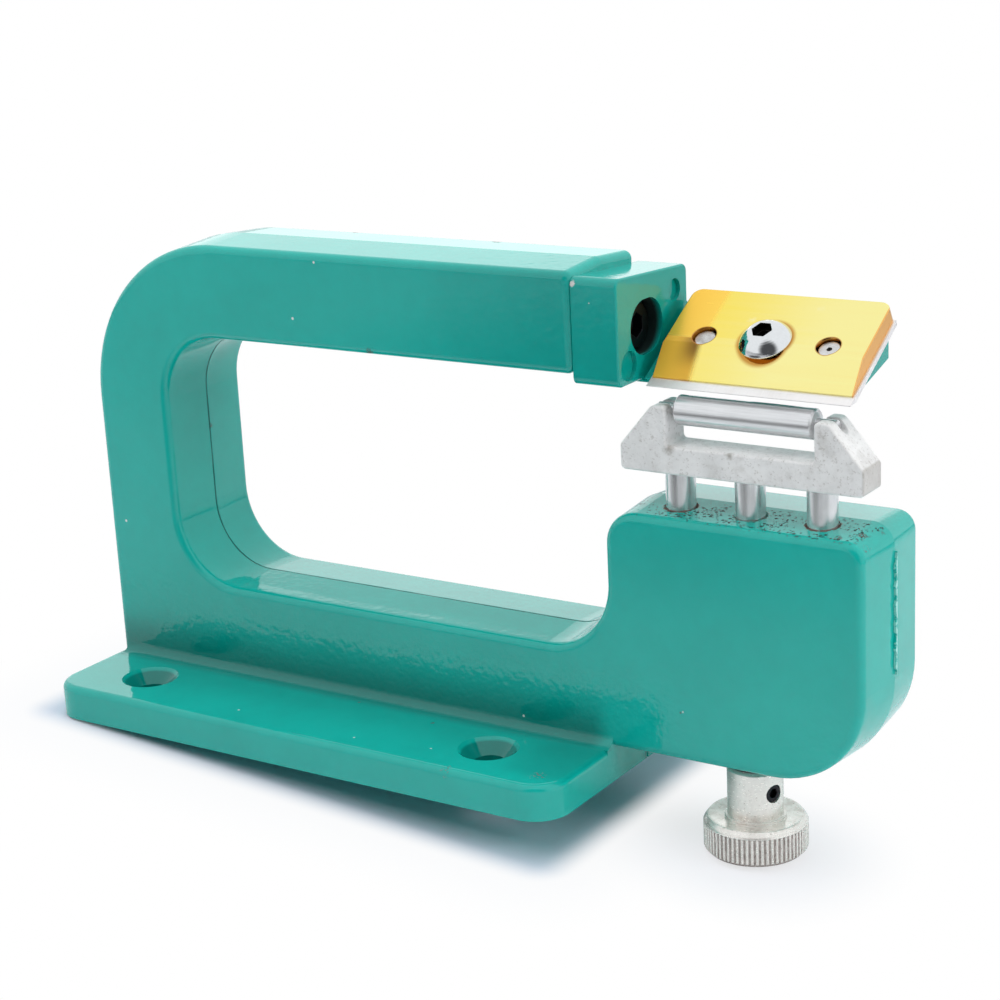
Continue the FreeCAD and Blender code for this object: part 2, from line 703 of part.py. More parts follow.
# ------------------------------------------------------------------ yoke, posts, roller
def make_roller_yoke():
    """Cast bar with two ears; each ear has a notch, open at the top, for a journal."""
    half = YOKE_LENGTH / 2
    inner = EAR_GAP / 2
    outer = inner + EAR_TOP_WIDTH
    bar_top = YOKE_BOTTOM + YOKE_BAR_HEIGHT
    ear_top = YOKE_BOTTOM + EAR_HEIGHT
    shoulder = YOKE_BOTTOM + YOKE_END_HEIGHT
    front = TOOL_Y - YOKE_DEPTH / 2
    side = [
        (-half, YOKE_BOTTOM), (-half, shoulder), (-outer, ear_top), (-inner, ear_top),
        (-inner, bar_top), (inner, bar_top), (inner, ear_top), (outer, ear_top),
        (half, shoulder), (half, YOKE_BOTTOM),
    ]
    face = polygon_face([V(YOKE_X + x, front, z) for x, z in side])
    yoke = face.extrude(V(0, YOKE_DEPTH, 0))

    def along_y(x, z):
        return edges_where(yoke, lambda p: near(abs(p.x - YOKE_X), x) and near(p.z, z))

    yoke = yoke.makeFillet(EAR_OUTER_R, along_y(outer, ear_top))
    yoke = yoke.makeFillet(EAR_INNER_R, along_y(inner, ear_top))
    yoke = yoke.makeFillet(EAR_INNER_R, along_y(inner, bar_top))
    yoke = yoke.makeFillet(YOKE_CORNER_R, along_y(half, shoulder))
    yoke = yoke.makeFillet(YOKE_CORNER_R, along_y(half, YOKE_BOTTOM))
    faces = edges_where(yoke, lambda p: near(abs(p.y - TOOL_Y), YOKE_DEPTH / 2))
    yoke = yoke.makeFillet(YOKE_EDGE, faces)
    radius = JOURNAL_D / 2 + RUN_CLEARANCE
    start = V(YOKE_X - half, TOOL_Y, ROLLER_Z)
    cutters = [rod(radius, start, X_AXIS, YOKE_LENGTH)]
    cutters.append(box(
        YOKE_X - half, YOKE_X + half, TOOL_Y - radius, TOOL_Y + radius, ROLLER_Z, ear_top + 1,
    ))
    for step in (-1, 0, 1):
        at = V(TOOL_X + step * POST_PITCH, TOOL_Y, YOKE_BOTTOM)
        cutters.append(rod(POST_GRIP_R, at, Z_AXIS, POST_GRIP))
    return yoke.cut(cutters)


def post_profile():
    radius = POST_D / 2
    return [
        (0, POST_BOTTOM),
        (radius - POST_CHAMFER, POST_BOTTOM),
        (radius, POST_BOTTOM + POST_CHAMFER),
        (radius, POST_TOP - POST_CHAMFER),
        (radius - POST_CHAMFER, POST_TOP),
        (0, POST_TOP),
    ]


def make_guide_post(side):
    return turned(post_profile(), V(TOOL_X + side * POST_PITCH, TOOL_Y, 0), Z_AXIS)


def make_lift_post():
    post = turned(post_profile(), V(TOOL_X, TOOL_Y, 0), Z_AXIS)
    hollow = LEAD_SCREW_D / 2 + RUN_CLEARANCE
    at = V(TOOL_X, TOOL_Y, POST_BOTTOM - 1)
    return post.cut(rod(hollow, at, Z_AXIS, POST_HOLLOW_TOP - POST_BOTTOM + 1))


def make_roller():
    half = ROLLER_LENGTH / 2
    reach = JOURNAL_SPAN / 2
    radius = ROLLER_D / 2
    journal = JOURNAL_D / 2
    profile = [
        (0, -reach),
        (journal - 0.4, -reach),
        (journal, 0.4 - reach),
        (journal, -half),
        (radius - ROLLER_CHAMFER, -half),
        (radius, ROLLER_CHAMFER - half),
        (radius, half - ROLLER_CHAMFER),
        (radius - ROLLER_CHAMFER, half),
        (journal, half),
        (journal, reach - 0.4),
        (journal - 0.4, reach),
        (0, reach),
    ]
    return turned(profile, V(YOKE_X, TOOL_Y, ROLLER_Z), X_AXIS)


# ------------------------------------------------------------------ lead screw and knob
def make_lead_screw():
    shank = LEAD_SHANK_D / 2
    collar = LEAD_COLLAR_D / 2
    thread = LEAD_SCREW_D / 2
    collar_top = BORE_BOTTOM + LEAD_COLLAR_H
    profile = [
        (0, SHANK_BOTTOM),
        (shank - 0.4, SHANK_BOTTOM),
        (shank, SHANK_BOTTOM + 0.4),
        (shank, BORE_BOTTOM),
        (collar, BORE_BOTTOM),
        (collar, collar_top),
        (thread, collar_top),
        (thread, LEAD_TOP - 0.6),
        (thread - 0.6, LEAD_TOP),
        (0, LEAD_TOP),
    ]
    return turned(profile, V(TOOL_X, TOOL_Y, 0), Z_AXIS)


def make_thrust_washer():
    at = V(TOOL_X, TOOL_Y, HUB_TOP)
    ring = rod(THRUST_WASHER_D / 2, at, Z_AXIS, THRUST_WASHER_T)
    return ring.cut(rod(LEAD_SHANK_D / 2 + FIXED_CLEARANCE, at, Z_AXIS, THRUST_WASHER_T))


def knurled_band():
    """Straight-knurled cylinder a little taller than the rim."""
    points = []
    for k in range(2 * KNOB_KNURLS):
        angle = math.pi * k / KNOB_KNURLS
        radius = KNOB_D / 2 - (KNOB_KNURL_DEPTH if k % 2 else 0)
        points.append(V(radius * math.cos(angle), radius * math.sin(angle), 0))
    band = polygon_face(points).extrude(V(0, 0, KNOB_RIM_HEIGHT - KNOB_KNURL_DROP))
    band.translate(V(TOOL_X, TOOL_Y, KNOB_BOTTOM))
    return band


def set_screw_way():
    turn = math.radians(SET_SCREW_TURN)
    return V(math.cos(turn), math.sin(turn), 0)


def make_knob():
    rim = KNOB_D / 2
    collar = rim - KNOB_KNURL_DEPTH
    step = HUB_STEP_D / 2
    hub = HUB_D / 2
    recess = KNOB_RECESS_D / 2
    profile = [
        (0, KNOB_BOTTOM + KNOB_RECESS_DEPTH),
        (recess, KNOB_BOTTOM + KNOB_RECESS_DEPTH),
        (recess, KNOB_BOTTOM),
        (rim - KNOB_BEVEL, KNOB_BOTTOM),
        (rim, KNOB_BOTTOM + KNOB_BEVEL),
        (rim, RIM_TOP - KNOB_KNURL_DROP),
        (rim - KNOB_KNURL_DEPTH / 2, RIM_TOP - KNOB_BEVEL),
        (rim - KNOB_BEVEL, RIM_TOP),
        (collar - KNOB_BEVEL, RIM_TOP),
        (step, RIM_TOP - RIM_DISH),
        (step, RIM_TOP + HUB_STEP_H),
        (hub, RIM_TOP + HUB_STEP_H),
        (hub, HUB_TOP - HUB_CHAMFER),
        (hub - HUB_CHAMFER, HUB_TOP),
        (0, HUB_TOP),
    ]
    body = turned(profile, V(TOOL_X, TOOL_Y, 0), Z_AXIS)
    shell = rod(rim + 1, V(TOOL_X, TOOL_Y, KNOB_BOTTOM - 1), Z_AXIS,
                KNOB_RIM_HEIGHT - KNOB_KNURL_DROP + 1)
    body = body.cut(shell.cut(knurled_band()))
    bore = rod(LEAD_SHANK_D / 2 + FIXED_CLEARANCE, V(TOOL_X, TOOL_Y, SHANK_BOTTOM), Z_AXIS,
               HUB_TOP - SHANK_BOTTOM)
    way = set_screw_way()
    axis = V(TOOL_X, TOOL_Y, HUB_TOP - SET_SCREW_DROP)
    tapped = rod(SET_SCREW_D / 2 + FIXED_CLEARANCE, axis, way, HUB_D)
    return body.cut([bore, tapped])


def make_knob_set_screw():
    way = set_screw_way()
    radius = SET_SCREW_D / 2
    start = V(TOOL_X, TOOL_Y, HUB_TOP - SET_SCREW_DROP) + way * (LEAD_SHANK_D / 2)
    profile = [
        (0, 0),
        (radius - 0.7, 0),
        (radius, 0.7),
        (radius, SET_SCREW_LENGTH - 0.3),
        (radius - 0.3, SET_SCREW_LENGTH),
        (0, SET_SCREW_LENGTH),
    ]
    deep = start + way * (SET_SCREW_LENGTH - 1.8)
    return turned(profile, start, way).cut(hexagon(SET_SCREW_HEX, deep, way, 3))


# ------------------------------------------------------------------ step files
def main():
    os.makedirs("parts", exist_ok=True)
    export(make_frame_casting(), "frame_casting")
    export(make_blade_head(), "blade_head")
    export(make_head_screw(), "head_screw")
    export(make_head_spring_washer(), "head_spring_washer")
    export(make_head_dowel(UPPER_DOWEL_Y, UPPER_DOWEL_Z), "head_dowel_upper")
    export(make_head_dowel(LOWER_DOWEL_Y, LOWER_DOWEL_Z), "head_dowel_lower")
    export(make_blade(), "blade")
    export(make_clamp_plate(), "clamp_plate")
    export(make_clamp_screw(), "clamp_screw")
    export(make_blade_pin(-1, False), "blade_pin_left")
    export(make_blade_pin(1, True), "blade_pin_right")
    export(make_roller_yoke(), "roller_yoke")
    export(make_roller(), "roller")
    export(make_guide_post(-1), "guide_post_left")
    export(make_guide_post(1), "guide_post_right")
    export(make_lift_post(), "lift_post")
    export(make_lead_screw(), "lead_screw")
    export(make_thrust_washer(), "thrust_washer")
    export(make_knob(), "knob")
    export(make_knob_set_screw(), "knob_set_screw")


main()
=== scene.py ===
"""Leather splitting machine: enamel, metal finishes and a plain studio.

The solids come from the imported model. This file gives each of them its finish,
and sets up the floor, the lamps and the camera.
"""

import math

import bpy
from bpy.props import FloatProperty, FloatVectorProperty, PointerProperty
from mathutils import Matrix, Vector


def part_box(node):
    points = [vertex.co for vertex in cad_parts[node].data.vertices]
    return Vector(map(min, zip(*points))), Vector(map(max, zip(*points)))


bl_info = {
    "name": "Leather Splitting Machine",
    "version": (1, 0, 0),
    "blender": (4, 5, 0),
    "location": "View3D > Sidebar > Splitter",
    "description": "Finishes a bench leather splitter and sets up its studio",
    "category": "Object",
}

MM = 0.001
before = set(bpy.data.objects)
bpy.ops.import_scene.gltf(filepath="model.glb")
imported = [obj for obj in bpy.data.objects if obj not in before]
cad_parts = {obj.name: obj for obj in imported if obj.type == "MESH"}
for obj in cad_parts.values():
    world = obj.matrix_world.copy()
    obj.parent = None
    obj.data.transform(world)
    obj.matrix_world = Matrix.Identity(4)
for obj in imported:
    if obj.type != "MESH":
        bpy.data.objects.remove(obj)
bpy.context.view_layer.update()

# ------------------------------------------------------------------ places on the part
BASE_TOP = 10 * MM
BLOCK_TOP = 77.3 * MM
HOLE_PLACE = (61 * MM, 33 * MM)
TOOL_X = sum(corner[0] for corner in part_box("lift_post")) / 2
TOOL_Y = sum(corner[1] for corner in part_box("lift_post")) / 2
POST_PITCH = (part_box("guide_post_right")[0][0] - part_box("guide_post_left")[0][0]) / 2
FLASH_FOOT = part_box("frame_casting")[1][0] - 0.75 * MM
POST_RADIUS = (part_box("guide_post_left")[1][0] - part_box("guide_post_left")[0][0]) / 2
SEAT_SLOPE = math.radians(30)
SEAT_UPHILL = Vector((0.0, math.cos(SEAT_SLOPE), math.sin(SEAT_SLOPE)))
SEAT_NORMAL = Vector((0.0, -math.sin(SEAT_SLOPE), math.cos(SEAT_SLOPE)))
CUTTING_EDGE = Vector((0.0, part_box("blade")[0][1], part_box("blade")[0][2]))
PIN_UP = 15.9 * MM
PLATE_TOP = 4.5 * MM


def seat_point(node, height):
    """Place over the middle of a node on the row of the clamp screw, height above the blade."""
    low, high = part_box(node)
    return (
        Vector(((low[0] + high[0]) / 2, 0.0, 0.0))
        + CUTTING_EDGE
        + SEAT_UPHILL * PIN_UP
        + SEAT_NORMAL * height
    )


# Marks of wear on the enamel and the plate, and among the pale specks a painted highlight: each a
# centre and a radius, in millimetres.
BARE_CHIPS = {
    "head_corner": ((83.2, -15.9, 136.4), 0.75),
    "rim_left": ((58.3, -49.4, 8.8), 0.5),
    "block_corner": ((164.2, -14.6, 75.2), 0.55),
}
DARK_MARKS = {
    "arm_smudge": ((17.3, -17.1, 113.0), 1.2),
    "block_spot": ((112.1, -17.2, 23.7), 0.35),
    "base_pit_a": ((8.6, -21.4, 10.4), 0.6),
    "base_pit_b": ((36.9, -25.0, 10.2), 0.65),
    "foot_pit_a": ((-47.0, -18.6, 11.6), 0.5),
    "foot_pit_b": ((-13.0, -18.4, 11.8), 0.45),
    "wall_pit_a": ((-58.0, 0.3, 80.3), 0.9),
    "wall_pit_b": ((-58.0, -5.0, 102.9), 0.7),
    "arm_top_scuff": ((-8.9, 15.0, 139.0), 1.0),
    "arm_top_scuff_b": ((40.0, 14.8, 139.2), 1.4),
    "block_edge_a": ((160.8, -9.5, 77.2), 1.3),
    "block_edge_b": ((163.6, -3.0, 76.9), 1.3),
    "block_edge_c": ((156.0, -13.8, 77.3), 1.1),
}
SCUFFS = {
    "base_corner": ((83.0, -42.7, 10.1), 1.7),
    "rim_middle": ((58.3, -49.2, 8.9), 1.2),
    "block_corner": ((164.6, -13.0, 75.0), 1.5),
}
PLATE_GRIME = {
    "left_hole": ((111.6, -1.2, 115.9), 1.0),
    "right_hole": ((139.6, 3.4, 118.4), 0.6),
}
PLATE_RUBS = {
    "upper": ((122.0, 8.5, 124.1), 0.9),
    "middle": ((122.5, 5.0, 121.9), 0.6),
    "edge": ((139.0, 14.5, 126.5), 1.2),
}
# Pale specks; one of those on the base's top is a painted highlight, a small glint.
PALE_SPECKS = {
    "column_speck": ((-8.6, -17.2, 120.7), 0.4),
    "heel_speck": ((0.3, -17.2, 137.1), 0.35),
    "web_speck": ((-79.6, -17.2, 52.4), 0.4),
    "web_speck_b": ((62.5, -17.3, 13.9), 0.35),
    "block_speck": ((112.7, -17.6, 24.0), 0.45),
    "base_speck_a": ((-19.3, -41.9, 10.3), 0.45),
    "base_speck_b": ((52.6, -18.9, 11.2), 0.4),
    "base_speck_c": ((47.0, -40.3, 10.2), 0.35),
    "base_speck_d": ((23.3, -43.5, 10.2), 0.35),
}

# Colours of wear and dirt, and of painted highlights, painted reflections and painted shade.
PALE_SPECK = (0.75, 0.82, 0.80, 1.0)
DARK_PIT = (0.055, 0.045, 0.035, 1.0)
SCUFFED = (0.13, 0.16, 0.15, 1.0)
RUST = (0.15, 0.055, 0.035, 1.0)
GRIT = (0.012, 0.030, 0.028, 1.0)
PAINTED_FLASH_HIGHLIGHT = (0.30, 0.72, 0.66, 1.0)
PAINTED_RECESS_SHADE = (0.001, 0.012, 0.011, 1.0)
BARE_METAL = (0.66, 0.66, 0.64, 1.0)
PAINTED_HOLLOW_SHADE = (0.03, 0.028, 0.025, 1.0)
LEFT_REFLECTION_ORANGE = (1.0, 0.58, 0.04, 1.0)
REFLECTION_ORANGE = (0.96, 0.52, 0.05, 1.0)
REFLECTION_BROWN = (0.26, 0.12, 0.01, 1.0)
PLATE_END_SHADE = (0.97, 0.50, 0.15, 1.0)
HOLE_RIM_SHADE = (0.55, 0.20, 0.02, 1.0)
PLATE_DIRT = (0.50, 0.24, 0.05, 1.0)
PLATE_RUBBED = (1.0, 0.93, 0.66, 1.0)
PLATE_EDGE = (1.0, 0.90, 0.62, 1.0)
NICKEL_CLOUD = (0.45, 0.40, 0.36, 1.0)
KNURL_GRIME = (0.24, 0.17, 0.155, 1.0)
NICKEL_PIT = (0.24, 0.18, 0.15, 1.0)
KNOB_SMUDGE = (0.42, 0.34, 0.27, 1.0)
NICKEL_EDGE = (1.0, 0.98, 0.94, 1.0)
PAPER_BOUNCE = (0.91, 0.94, 0.97, 1.0)
PAPER_SHADE = (0.72, 0.77, 0.90, 1.0)
STUDIO_WHITE = (0.94, 0.98, 1.0, 1.0)
STUDIO_DARK = (0.08, 0.085, 0.09, 1.0)
AMBIENT_WHITE = (0.96, 0.98, 1.0, 1.0)
WHITE = (1.0, 1.0, 1.0, 1.0)
BLACK = (0.0, 0.0, 0.0, 1.0)

# Directions and places of the studio; the width of the camera's sensor is in millimetres.
UPRIGHT = (0.0, 0.0, 1.0)
VIEWER_SIDE = Vector((0.42, -0.88, 0.22)).normalized()
CAMERA_TARGET = Vector((0.04667, 0.0, 0.06959))
LAMP_TARGET = (0.04, 0.0, 0.06)
FLOOR_REACH = 3.0
SENSOR_WIDTH = 36.0

# Numbers that finishes share. The head's enamel is painted a little darker than the frame
# casting's: painted shade.
HEAD_PAINTED_SHADE = 0.80
ENAMEL_IOR = 1.53
EDGE_WIDTH = 0.3 * MM
CAST_EDGE_WIDTH = 0.7 * MM


# ------------------------------------------------------------------ node helpers
def fill(tree, node, values):
    """Links sockets to a node's inputs, and sets the values that aren't sockets."""
    for key, value in values.items():
        if isinstance(value, bpy.types.NodeSocket):
            tree.links.new(value, node.inputs[key])
        else:
            node.inputs[key].default_value = value


def put(tree, kind, values=None, **settings):
    """Adds a node, sets its own settings, and fills or links its inputs."""
    made = tree.nodes.new(kind)
    for name, value in settings.items():
        setattr(made, name, value)
    fill(tree, made, values or {})
    return made


def calculate(tree, operation, first, second=0.0, third=0.0, clamp=False):
    """Result of a sum on up to three values."""
    values = {0: first, 1: second, 2: third}
    return put(tree, "ShaderNodeMath", values, operation=operation, use_clamp=clamp).outputs[0]


def product(tree, *factors):
    """Product of two or more values."""
    result = factors[0]
    for factor in factors[1:]:
        result = calculate(tree, "MULTIPLY", result, factor)
    return result


def total(tree, base, *terms):
    """Base plus some terms, each a value and its share."""
    for value, share in terms:
        base = calculate(tree, "MULTIPLY_ADD", value, share, base)
    return base


def union(tree, masks):
    """Largest of some masks."""
    result = masks[0]
    for mask in masks[1:]:
        result = calculate(tree, "MAXIMUM", result, mask)
    return result


def vector_math(tree, operation, *vectors):
    """Outputs of a calculation on one or two vectors."""
    return put(
        tree, "ShaderNodeVectorMath", dict(enumerate(vectors)), operation=operation
    ).outputs


def split(tree, place):
    """The X, Y and Z outputs of a place."""
    return put(tree, "ShaderNodeSeparateXYZ", {0: place}).outputs


def ramp(tree, value, low, high, start=0.0, stop=1.0):
    """Smooth step of a value from low to high."""
    values = {"Value": value, "From Min": low, "From Max": high, "To Min": start, "To Max": stop}
    node = put(tree, "ShaderNodeMapRange", values, interpolation_type="SMOOTHSTEP")
    return node.outputs["Result"]


def zone(tree, place, *steps):
    """Product of smooth steps: each an axis, two places in millimetres and the two values."""
    parts = split(tree, place)
    masks = [
        ramp(tree, parts[axis], low * MM, high * MM, *ends) for axis, low, high, *ends in steps
    ]
    return product(tree, *masks)


def blend_colours(tree, factor, first, second):
    """Mixes two colours by a factor."""
    values = {0: factor, 6: first, 7: second}
    return put(tree, "ShaderNodeMix", values, data_type="RGBA").outputs[2]


def overlay(tree, base, *coats):
    """Lays coats over a base colour, each a mask and a colour."""
    for mask, colour in coats:
        base = blend_colours(tree, mask, base, colour)
    return base


def scaled(colour, share=1.0):
    """A colour made darker or brighter, with full alpha."""
    return (*(min(1.0, c * share) for c in colour), 1.0)


def noise(tree, place, scale, detail=2.0, roughness=0.5, distortion=0.0):
    """Cloudy pattern from 0 to 1."""
    values = {
        "Vector": place,
        "Scale": scale,
        "Detail": detail,
        "Roughness": roughness,
        "Distortion": distortion,
    }
    return put(tree, "ShaderNodeTexNoise", values).outputs["Fac"]


def grains(tree, place, scale, inner, outer):
    """Round grains, one in each cell, and a random value for each cell."""
    values = {"Vector": place, "Scale": scale, "Randomness": 1.0}
    cells = put(tree, "ShaderNodeTexVoronoi", values).outputs
    chance = put(tree, "ShaderNodeSeparateColor", {0: cells["Color"]}).outputs["Red"]
    return ramp(tree, cells["Distance"], inner, outer, 1.0, 0.0), chance


def new_group(name, inputs, outputs):
    """Node group with named inputs and outputs; gives its tree, its inputs and its end."""
    tree = bpy.data.node_groups.new(name, "ShaderNodeTree")
    for label, kind, default in inputs:
        socket = tree.interface.new_socket(label, in_out="INPUT", socket_type=kind)
        if default is not None:
            socket.default_value = default
    for label, kind in outputs:
        tree.interface.new_socket(label, in_out="OUTPUT", socket_type=kind)
    return tree, tree.nodes.new("NodeGroupInput").outputs, tree.nodes.new("NodeGroupOutput")


def use_group(tree, name, **values):
    """Adds a shared effect, with its values, and gives its outputs."""
    return put(tree, "ShaderNodeGroup", values, node_tree=bpy.data.node_groups[name]).outputs


# ------------------------------------------------------------------ shared effects
FLOAT = "NodeSocketFloat"
VECTOR = "NodeSocketVector"


def make_spot_group():
    """Ragged round spot at a place on the part."""
    tree, given, result = new_group(
        "Ragged spot",
        [
            ("Place", VECTOR, None),
            ("Centre", VECTOR, (0.0, 0.0, 0.0)),
            ("Radius", FLOAT, 0.001),
            ("Raggedness", FLOAT, 0.6),
            ("Edge", FLOAT, 0.15),
        ],
        [("Mask", FLOAT)],
    )
    away = vector_math(tree, "DISTANCE", given["Place"], given["Centre"])["Value"]
    relative = calculate(tree, "DIVIDE", away, given["Radius"])
    grain = noise(tree, given["Place"], 900.0, 3.0, 0.6)
    ragged = product(tree, calculate(tree, "SUBTRACT", grain, 0.5), given["Raggedness"])
    ragged = total(tree, relative, (ragged, 4.0))
    near = calculate(tree, "SUBTRACT", 1.0, given["Edge"])
    far = calculate(tree, "ADD", 1.0, given["Edge"])
    values = {"Value": ragged, "From Min": near, "From Max": far, "To Min": 1.0, "To Max": 0.0}
    inside = put(tree, "ShaderNodeMapRange", values)
    fill(tree, result, {"Mask": inside.outputs["Result"]})


def make_peel_group():
    """Orange peel and slow waves of a thick sprayed coat, as a bump height."""
    tree, given, result = new_group(
        "Orange peel",
        [
            ("Place", VECTOR, None),
            ("Peel size", FLOAT, 560.0),
            ("Wave size", FLOAT, 55.0),
            ("Wave share", FLOAT, 1.6),
        ],
        [("Height", FLOAT)],
    )
    peel = noise(tree, given["Place"], given["Peel size"], 1.5, 0.45)
    wave = noise(tree, given["Place"], given["Wave size"], 1.0, 0.4)
    fill(tree, result, {"Height": total(tree, peel, (wave, given["Wave share"]))})


def make_mottle_group():
    """Cloudy variation at two scales, from 0 to 1."""
    tree, given, result = new_group(
        "Mottle",
        [
            ("Place", VECTOR, None),
            ("Large", FLOAT, 60.0),
            ("Small", FLOAT, 600.0),
            ("Contrast", FLOAT, 0.2),
        ],
        [("Value", FLOAT), ("Fine", FLOAT)],
    )
    large = noise(tree, given["Place"], given["Large"], 3.0, 0.6, 0.4)
    small = noise(tree, given["Place"], given["Small"], 4.0, 0.65)
    middle = 0.75
    low = calculate(tree, "SUBTRACT", middle, given["Contrast"])
    high = calculate(tree, "ADD", middle, given["Contrast"])
    value = ramp(tree, total(tree, large, (small, 0.5)), low, high)
    fill(tree, result, {"Value": value, "Fine": small})


def make_lines_group():
    """Fine tool lines that run square to a direction, such as grinding or turning."""
    tree, given, result = new_group(
        "Tool lines",
        [
            ("Place", VECTOR, None),
            ("Across", VECTOR, (1.0, 1.0, 1.0)),
            ("Fineness", FLOAT, 3000.0),
        ],
        [("Lines", FLOAT)],
    )
    stretched = vector_math(tree, "MULTIPLY", given["Place"], given["Across"])["Vector"]
    fill(tree, result, {"Lines": noise(tree, stretched, given["Fineness"], 3.0, 0.7)})


def make_edge_group():
    """Mask of outer edges, from how far a rounded normal leaves the true one."""
    tree, given, result = new_group(
        "Worn edges",
        [("Place", VECTOR, None), ("Width", FLOAT, 0.0004), ("Grain", FLOAT, 900.0)],
        [("Mask", FLOAT), ("Normal", VECTOR)],
    )
    bevel = put(tree, "ShaderNodeBevel", {"Radius": given["Width"]}, samples=6)
    rounded = bevel.outputs["Normal"]
    true = put(tree, "ShaderNodeNewGeometry").outputs["Normal"]
    agree = vector_math(tree, "DOT_PRODUCT", rounded, true)["Value"]
    bent = ramp(tree, calculate(tree, "SUBTRACT", 1.0, agree), 0.02, 0.2)
    grain = ramp(tree, noise(tree, given["Place"], given["Grain"], 3.0, 0.6), 0.35, 0.65)
    fill(tree, result, {"Mask": product(tree, bent, grain), "Normal": rounded})


def make_axis_group():
    """Distance from a line, and how far along it, for round features."""
    tree, given, result = new_group(
        "Round an axis",
        [
            ("Place", VECTOR, None),
            ("Centre", VECTOR, (0.0, 0.0, 0.0)),
            ("Axis", VECTOR, UPRIGHT),
        ],
        [("Away", FLOAT), ("Along", FLOAT)],
    )
    offset = vector_math(tree, "SUBTRACT", given["Place"], given["Centre"])["Vector"]
    along = vector_math(tree, "DOT_PRODUCT", offset, given["Axis"])["Value"]
    across = vector_math(tree, "CROSS_PRODUCT", offset, given["Axis"])["Vector"]
    away = vector_math(tree, "LENGTH", across)["Value"]
    fill(tree, result, {"Away": away, "Along": along})


def make_shared_groups():
    """Builds every shared effect."""
    make_axis_group()
    make_spot_group()
    make_peel_group()
    make_mottle_group()
    make_lines_group()
    make_edge_group()


# ------------------------------------------------------------------ material frame
def new_material(name):
    """Empty material with a Principled BSDF; gives tree, shader and object coordinates."""
    material = bpy.data.materials.new(name)
    material.use_nodes = True
    tree = material.node_tree
    tree.nodes.clear()
    shader = put(tree, "ShaderNodeBsdfPrincipled")
    put(tree, "ShaderNodeOutputMaterial", {"Surface": shader.outputs[0]})
    place = put(tree, "ShaderNodeTexCoord").outputs["Object"]
    return material, tree, shader, place


def finish(tree, shader, colour, roughness, height, normal=None):
    """Links a finish to its shader, with the bump of its height over a normal."""
    bump = put(tree, "ShaderNodeBump", {"Height": height, "Distance": 1.0, "Strength": 1.0})
    if normal is not None:
        tree.links.new(normal, bump.inputs["Normal"])
    values = {"Base Color": colour, "Roughness": roughness, "Normal": bump.outputs[0]}
    fill(tree, shader, values)


def dress(material, *nodes):
    """Gives CAD nodes their material."""
    for name in nodes:
        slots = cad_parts[name].data.materials
        slots.clear()
        slots.append(material)


def spots(tree, place, marks, raggedness=0.6, edge=0.15):
    """Union of ragged spots."""
    masks = []
    for centre, radius in marks.values():
        spot = use_group(
            tree,
            "Ragged spot",
            Place=place,
            Centre=tuple(c * MM for c in centre),
            Radius=radius * MM,
            Raggedness=raggedness,
            Edge=edge,
        )
        masks.append(spot["Mask"])
    return union(tree, masks)


def round_axis(tree, place, centre, axis=UPRIGHT):
    """Distance from an axis and along it."""
    return use_group(tree, "Round an axis", Place=place, Centre=tuple(centre), Axis=tuple(axis))


def worn_edges(tree, place, width=EDGE_WIDTH):
    """Mask of the worn edges, and the normal rounded over them."""
    edges = use_group(tree, "Worn edges", Place=place, Width=width)
    return edges["Mask"], edges["Normal"]


def tool_lines(tree, place, across, fineness):
    """Fine lines of grinding or turning, from 0 to 1."""
    return use_group(tree, "Tool lines", Place=place, Across=across, Fineness=fineness)["Lines"]


# ------------------------------------------------------------------ enamel
def block_top_dirt(tree, place):
    """Grit along the front of the block's top, and worn rings at the feet of the posts."""
    top, tool_x, tool_y = BLOCK_TOP / MM, TOOL_X / MM, TOOL_Y / MM
    on_top = zone(
        tree,
        place,
        ("Z", top - 1.3, top - 0.5),
        ("X", tool_x - 40, tool_x - 34),
        ("Z", top + 1, top + 3, 1.0, 0.0),
    )
    reach = zone(
        tree,
        place,
        ("Y", tool_y - 1, tool_y + 8, 1.0, 0.0),
        ("X", tool_x - 30, tool_x - 14, 0.2, 1.0),
    )
    patches = ramp(tree, noise(tree, place, 140.0, 3.0, 0.6), 0.35, 0.62)
    grit = []
    for size, share in ((1500.0, 0.55), (900.0, 0.30)):
        grain, chance = grains(tree, place, size, 0.38, 0.46)
        limit = product(tree, reach, patches, share)
        grit.append(product(tree, grain, calculate(tree, "LESS_THAN", chance, limit)))
    rings = []
    for step, share in ((-1, 1.0), (0, 0.7), (1, 1.0)):
        foot = round_axis(tree, place, (TOOL_X + step * POST_PITCH, TOOL_Y, 0.0))
        gap = calculate(tree, "SUBTRACT", foot["Away"], POST_RADIUS)
        rings.append(ramp(tree, gap, 0.3 * MM, 1.5 * MM, share, 0.0))
    ring = product(tree, union(tree, rings), on_top)
    rust = total(tree, noise(tree, place, 900.0, 3.0, 0.6), (ring, 0.30))
    rust = product(tree, ramp(tree, rust, 0.62, 0.74), ring)
    return product(tree, union(tree, grit), on_top), rust


def seam_line(tree, place):
    """Dark line of the mould's parting plane along the inside of the throat."""
    off = calculate(tree, "ABSOLUTE", split(tree, place)["Y"])
    off = total(tree, off, (noise(tree, place, 90.0), -0.5 * MM))
    line = ramp(tree, off, -0.05 * MM, 0.14 * MM, 1.0, 0.0)
    throat = zone(tree, place, ("X", 94, 89), ("X", -62, -60), ("Z", 128, 120))
    return product(tree, line, throat)


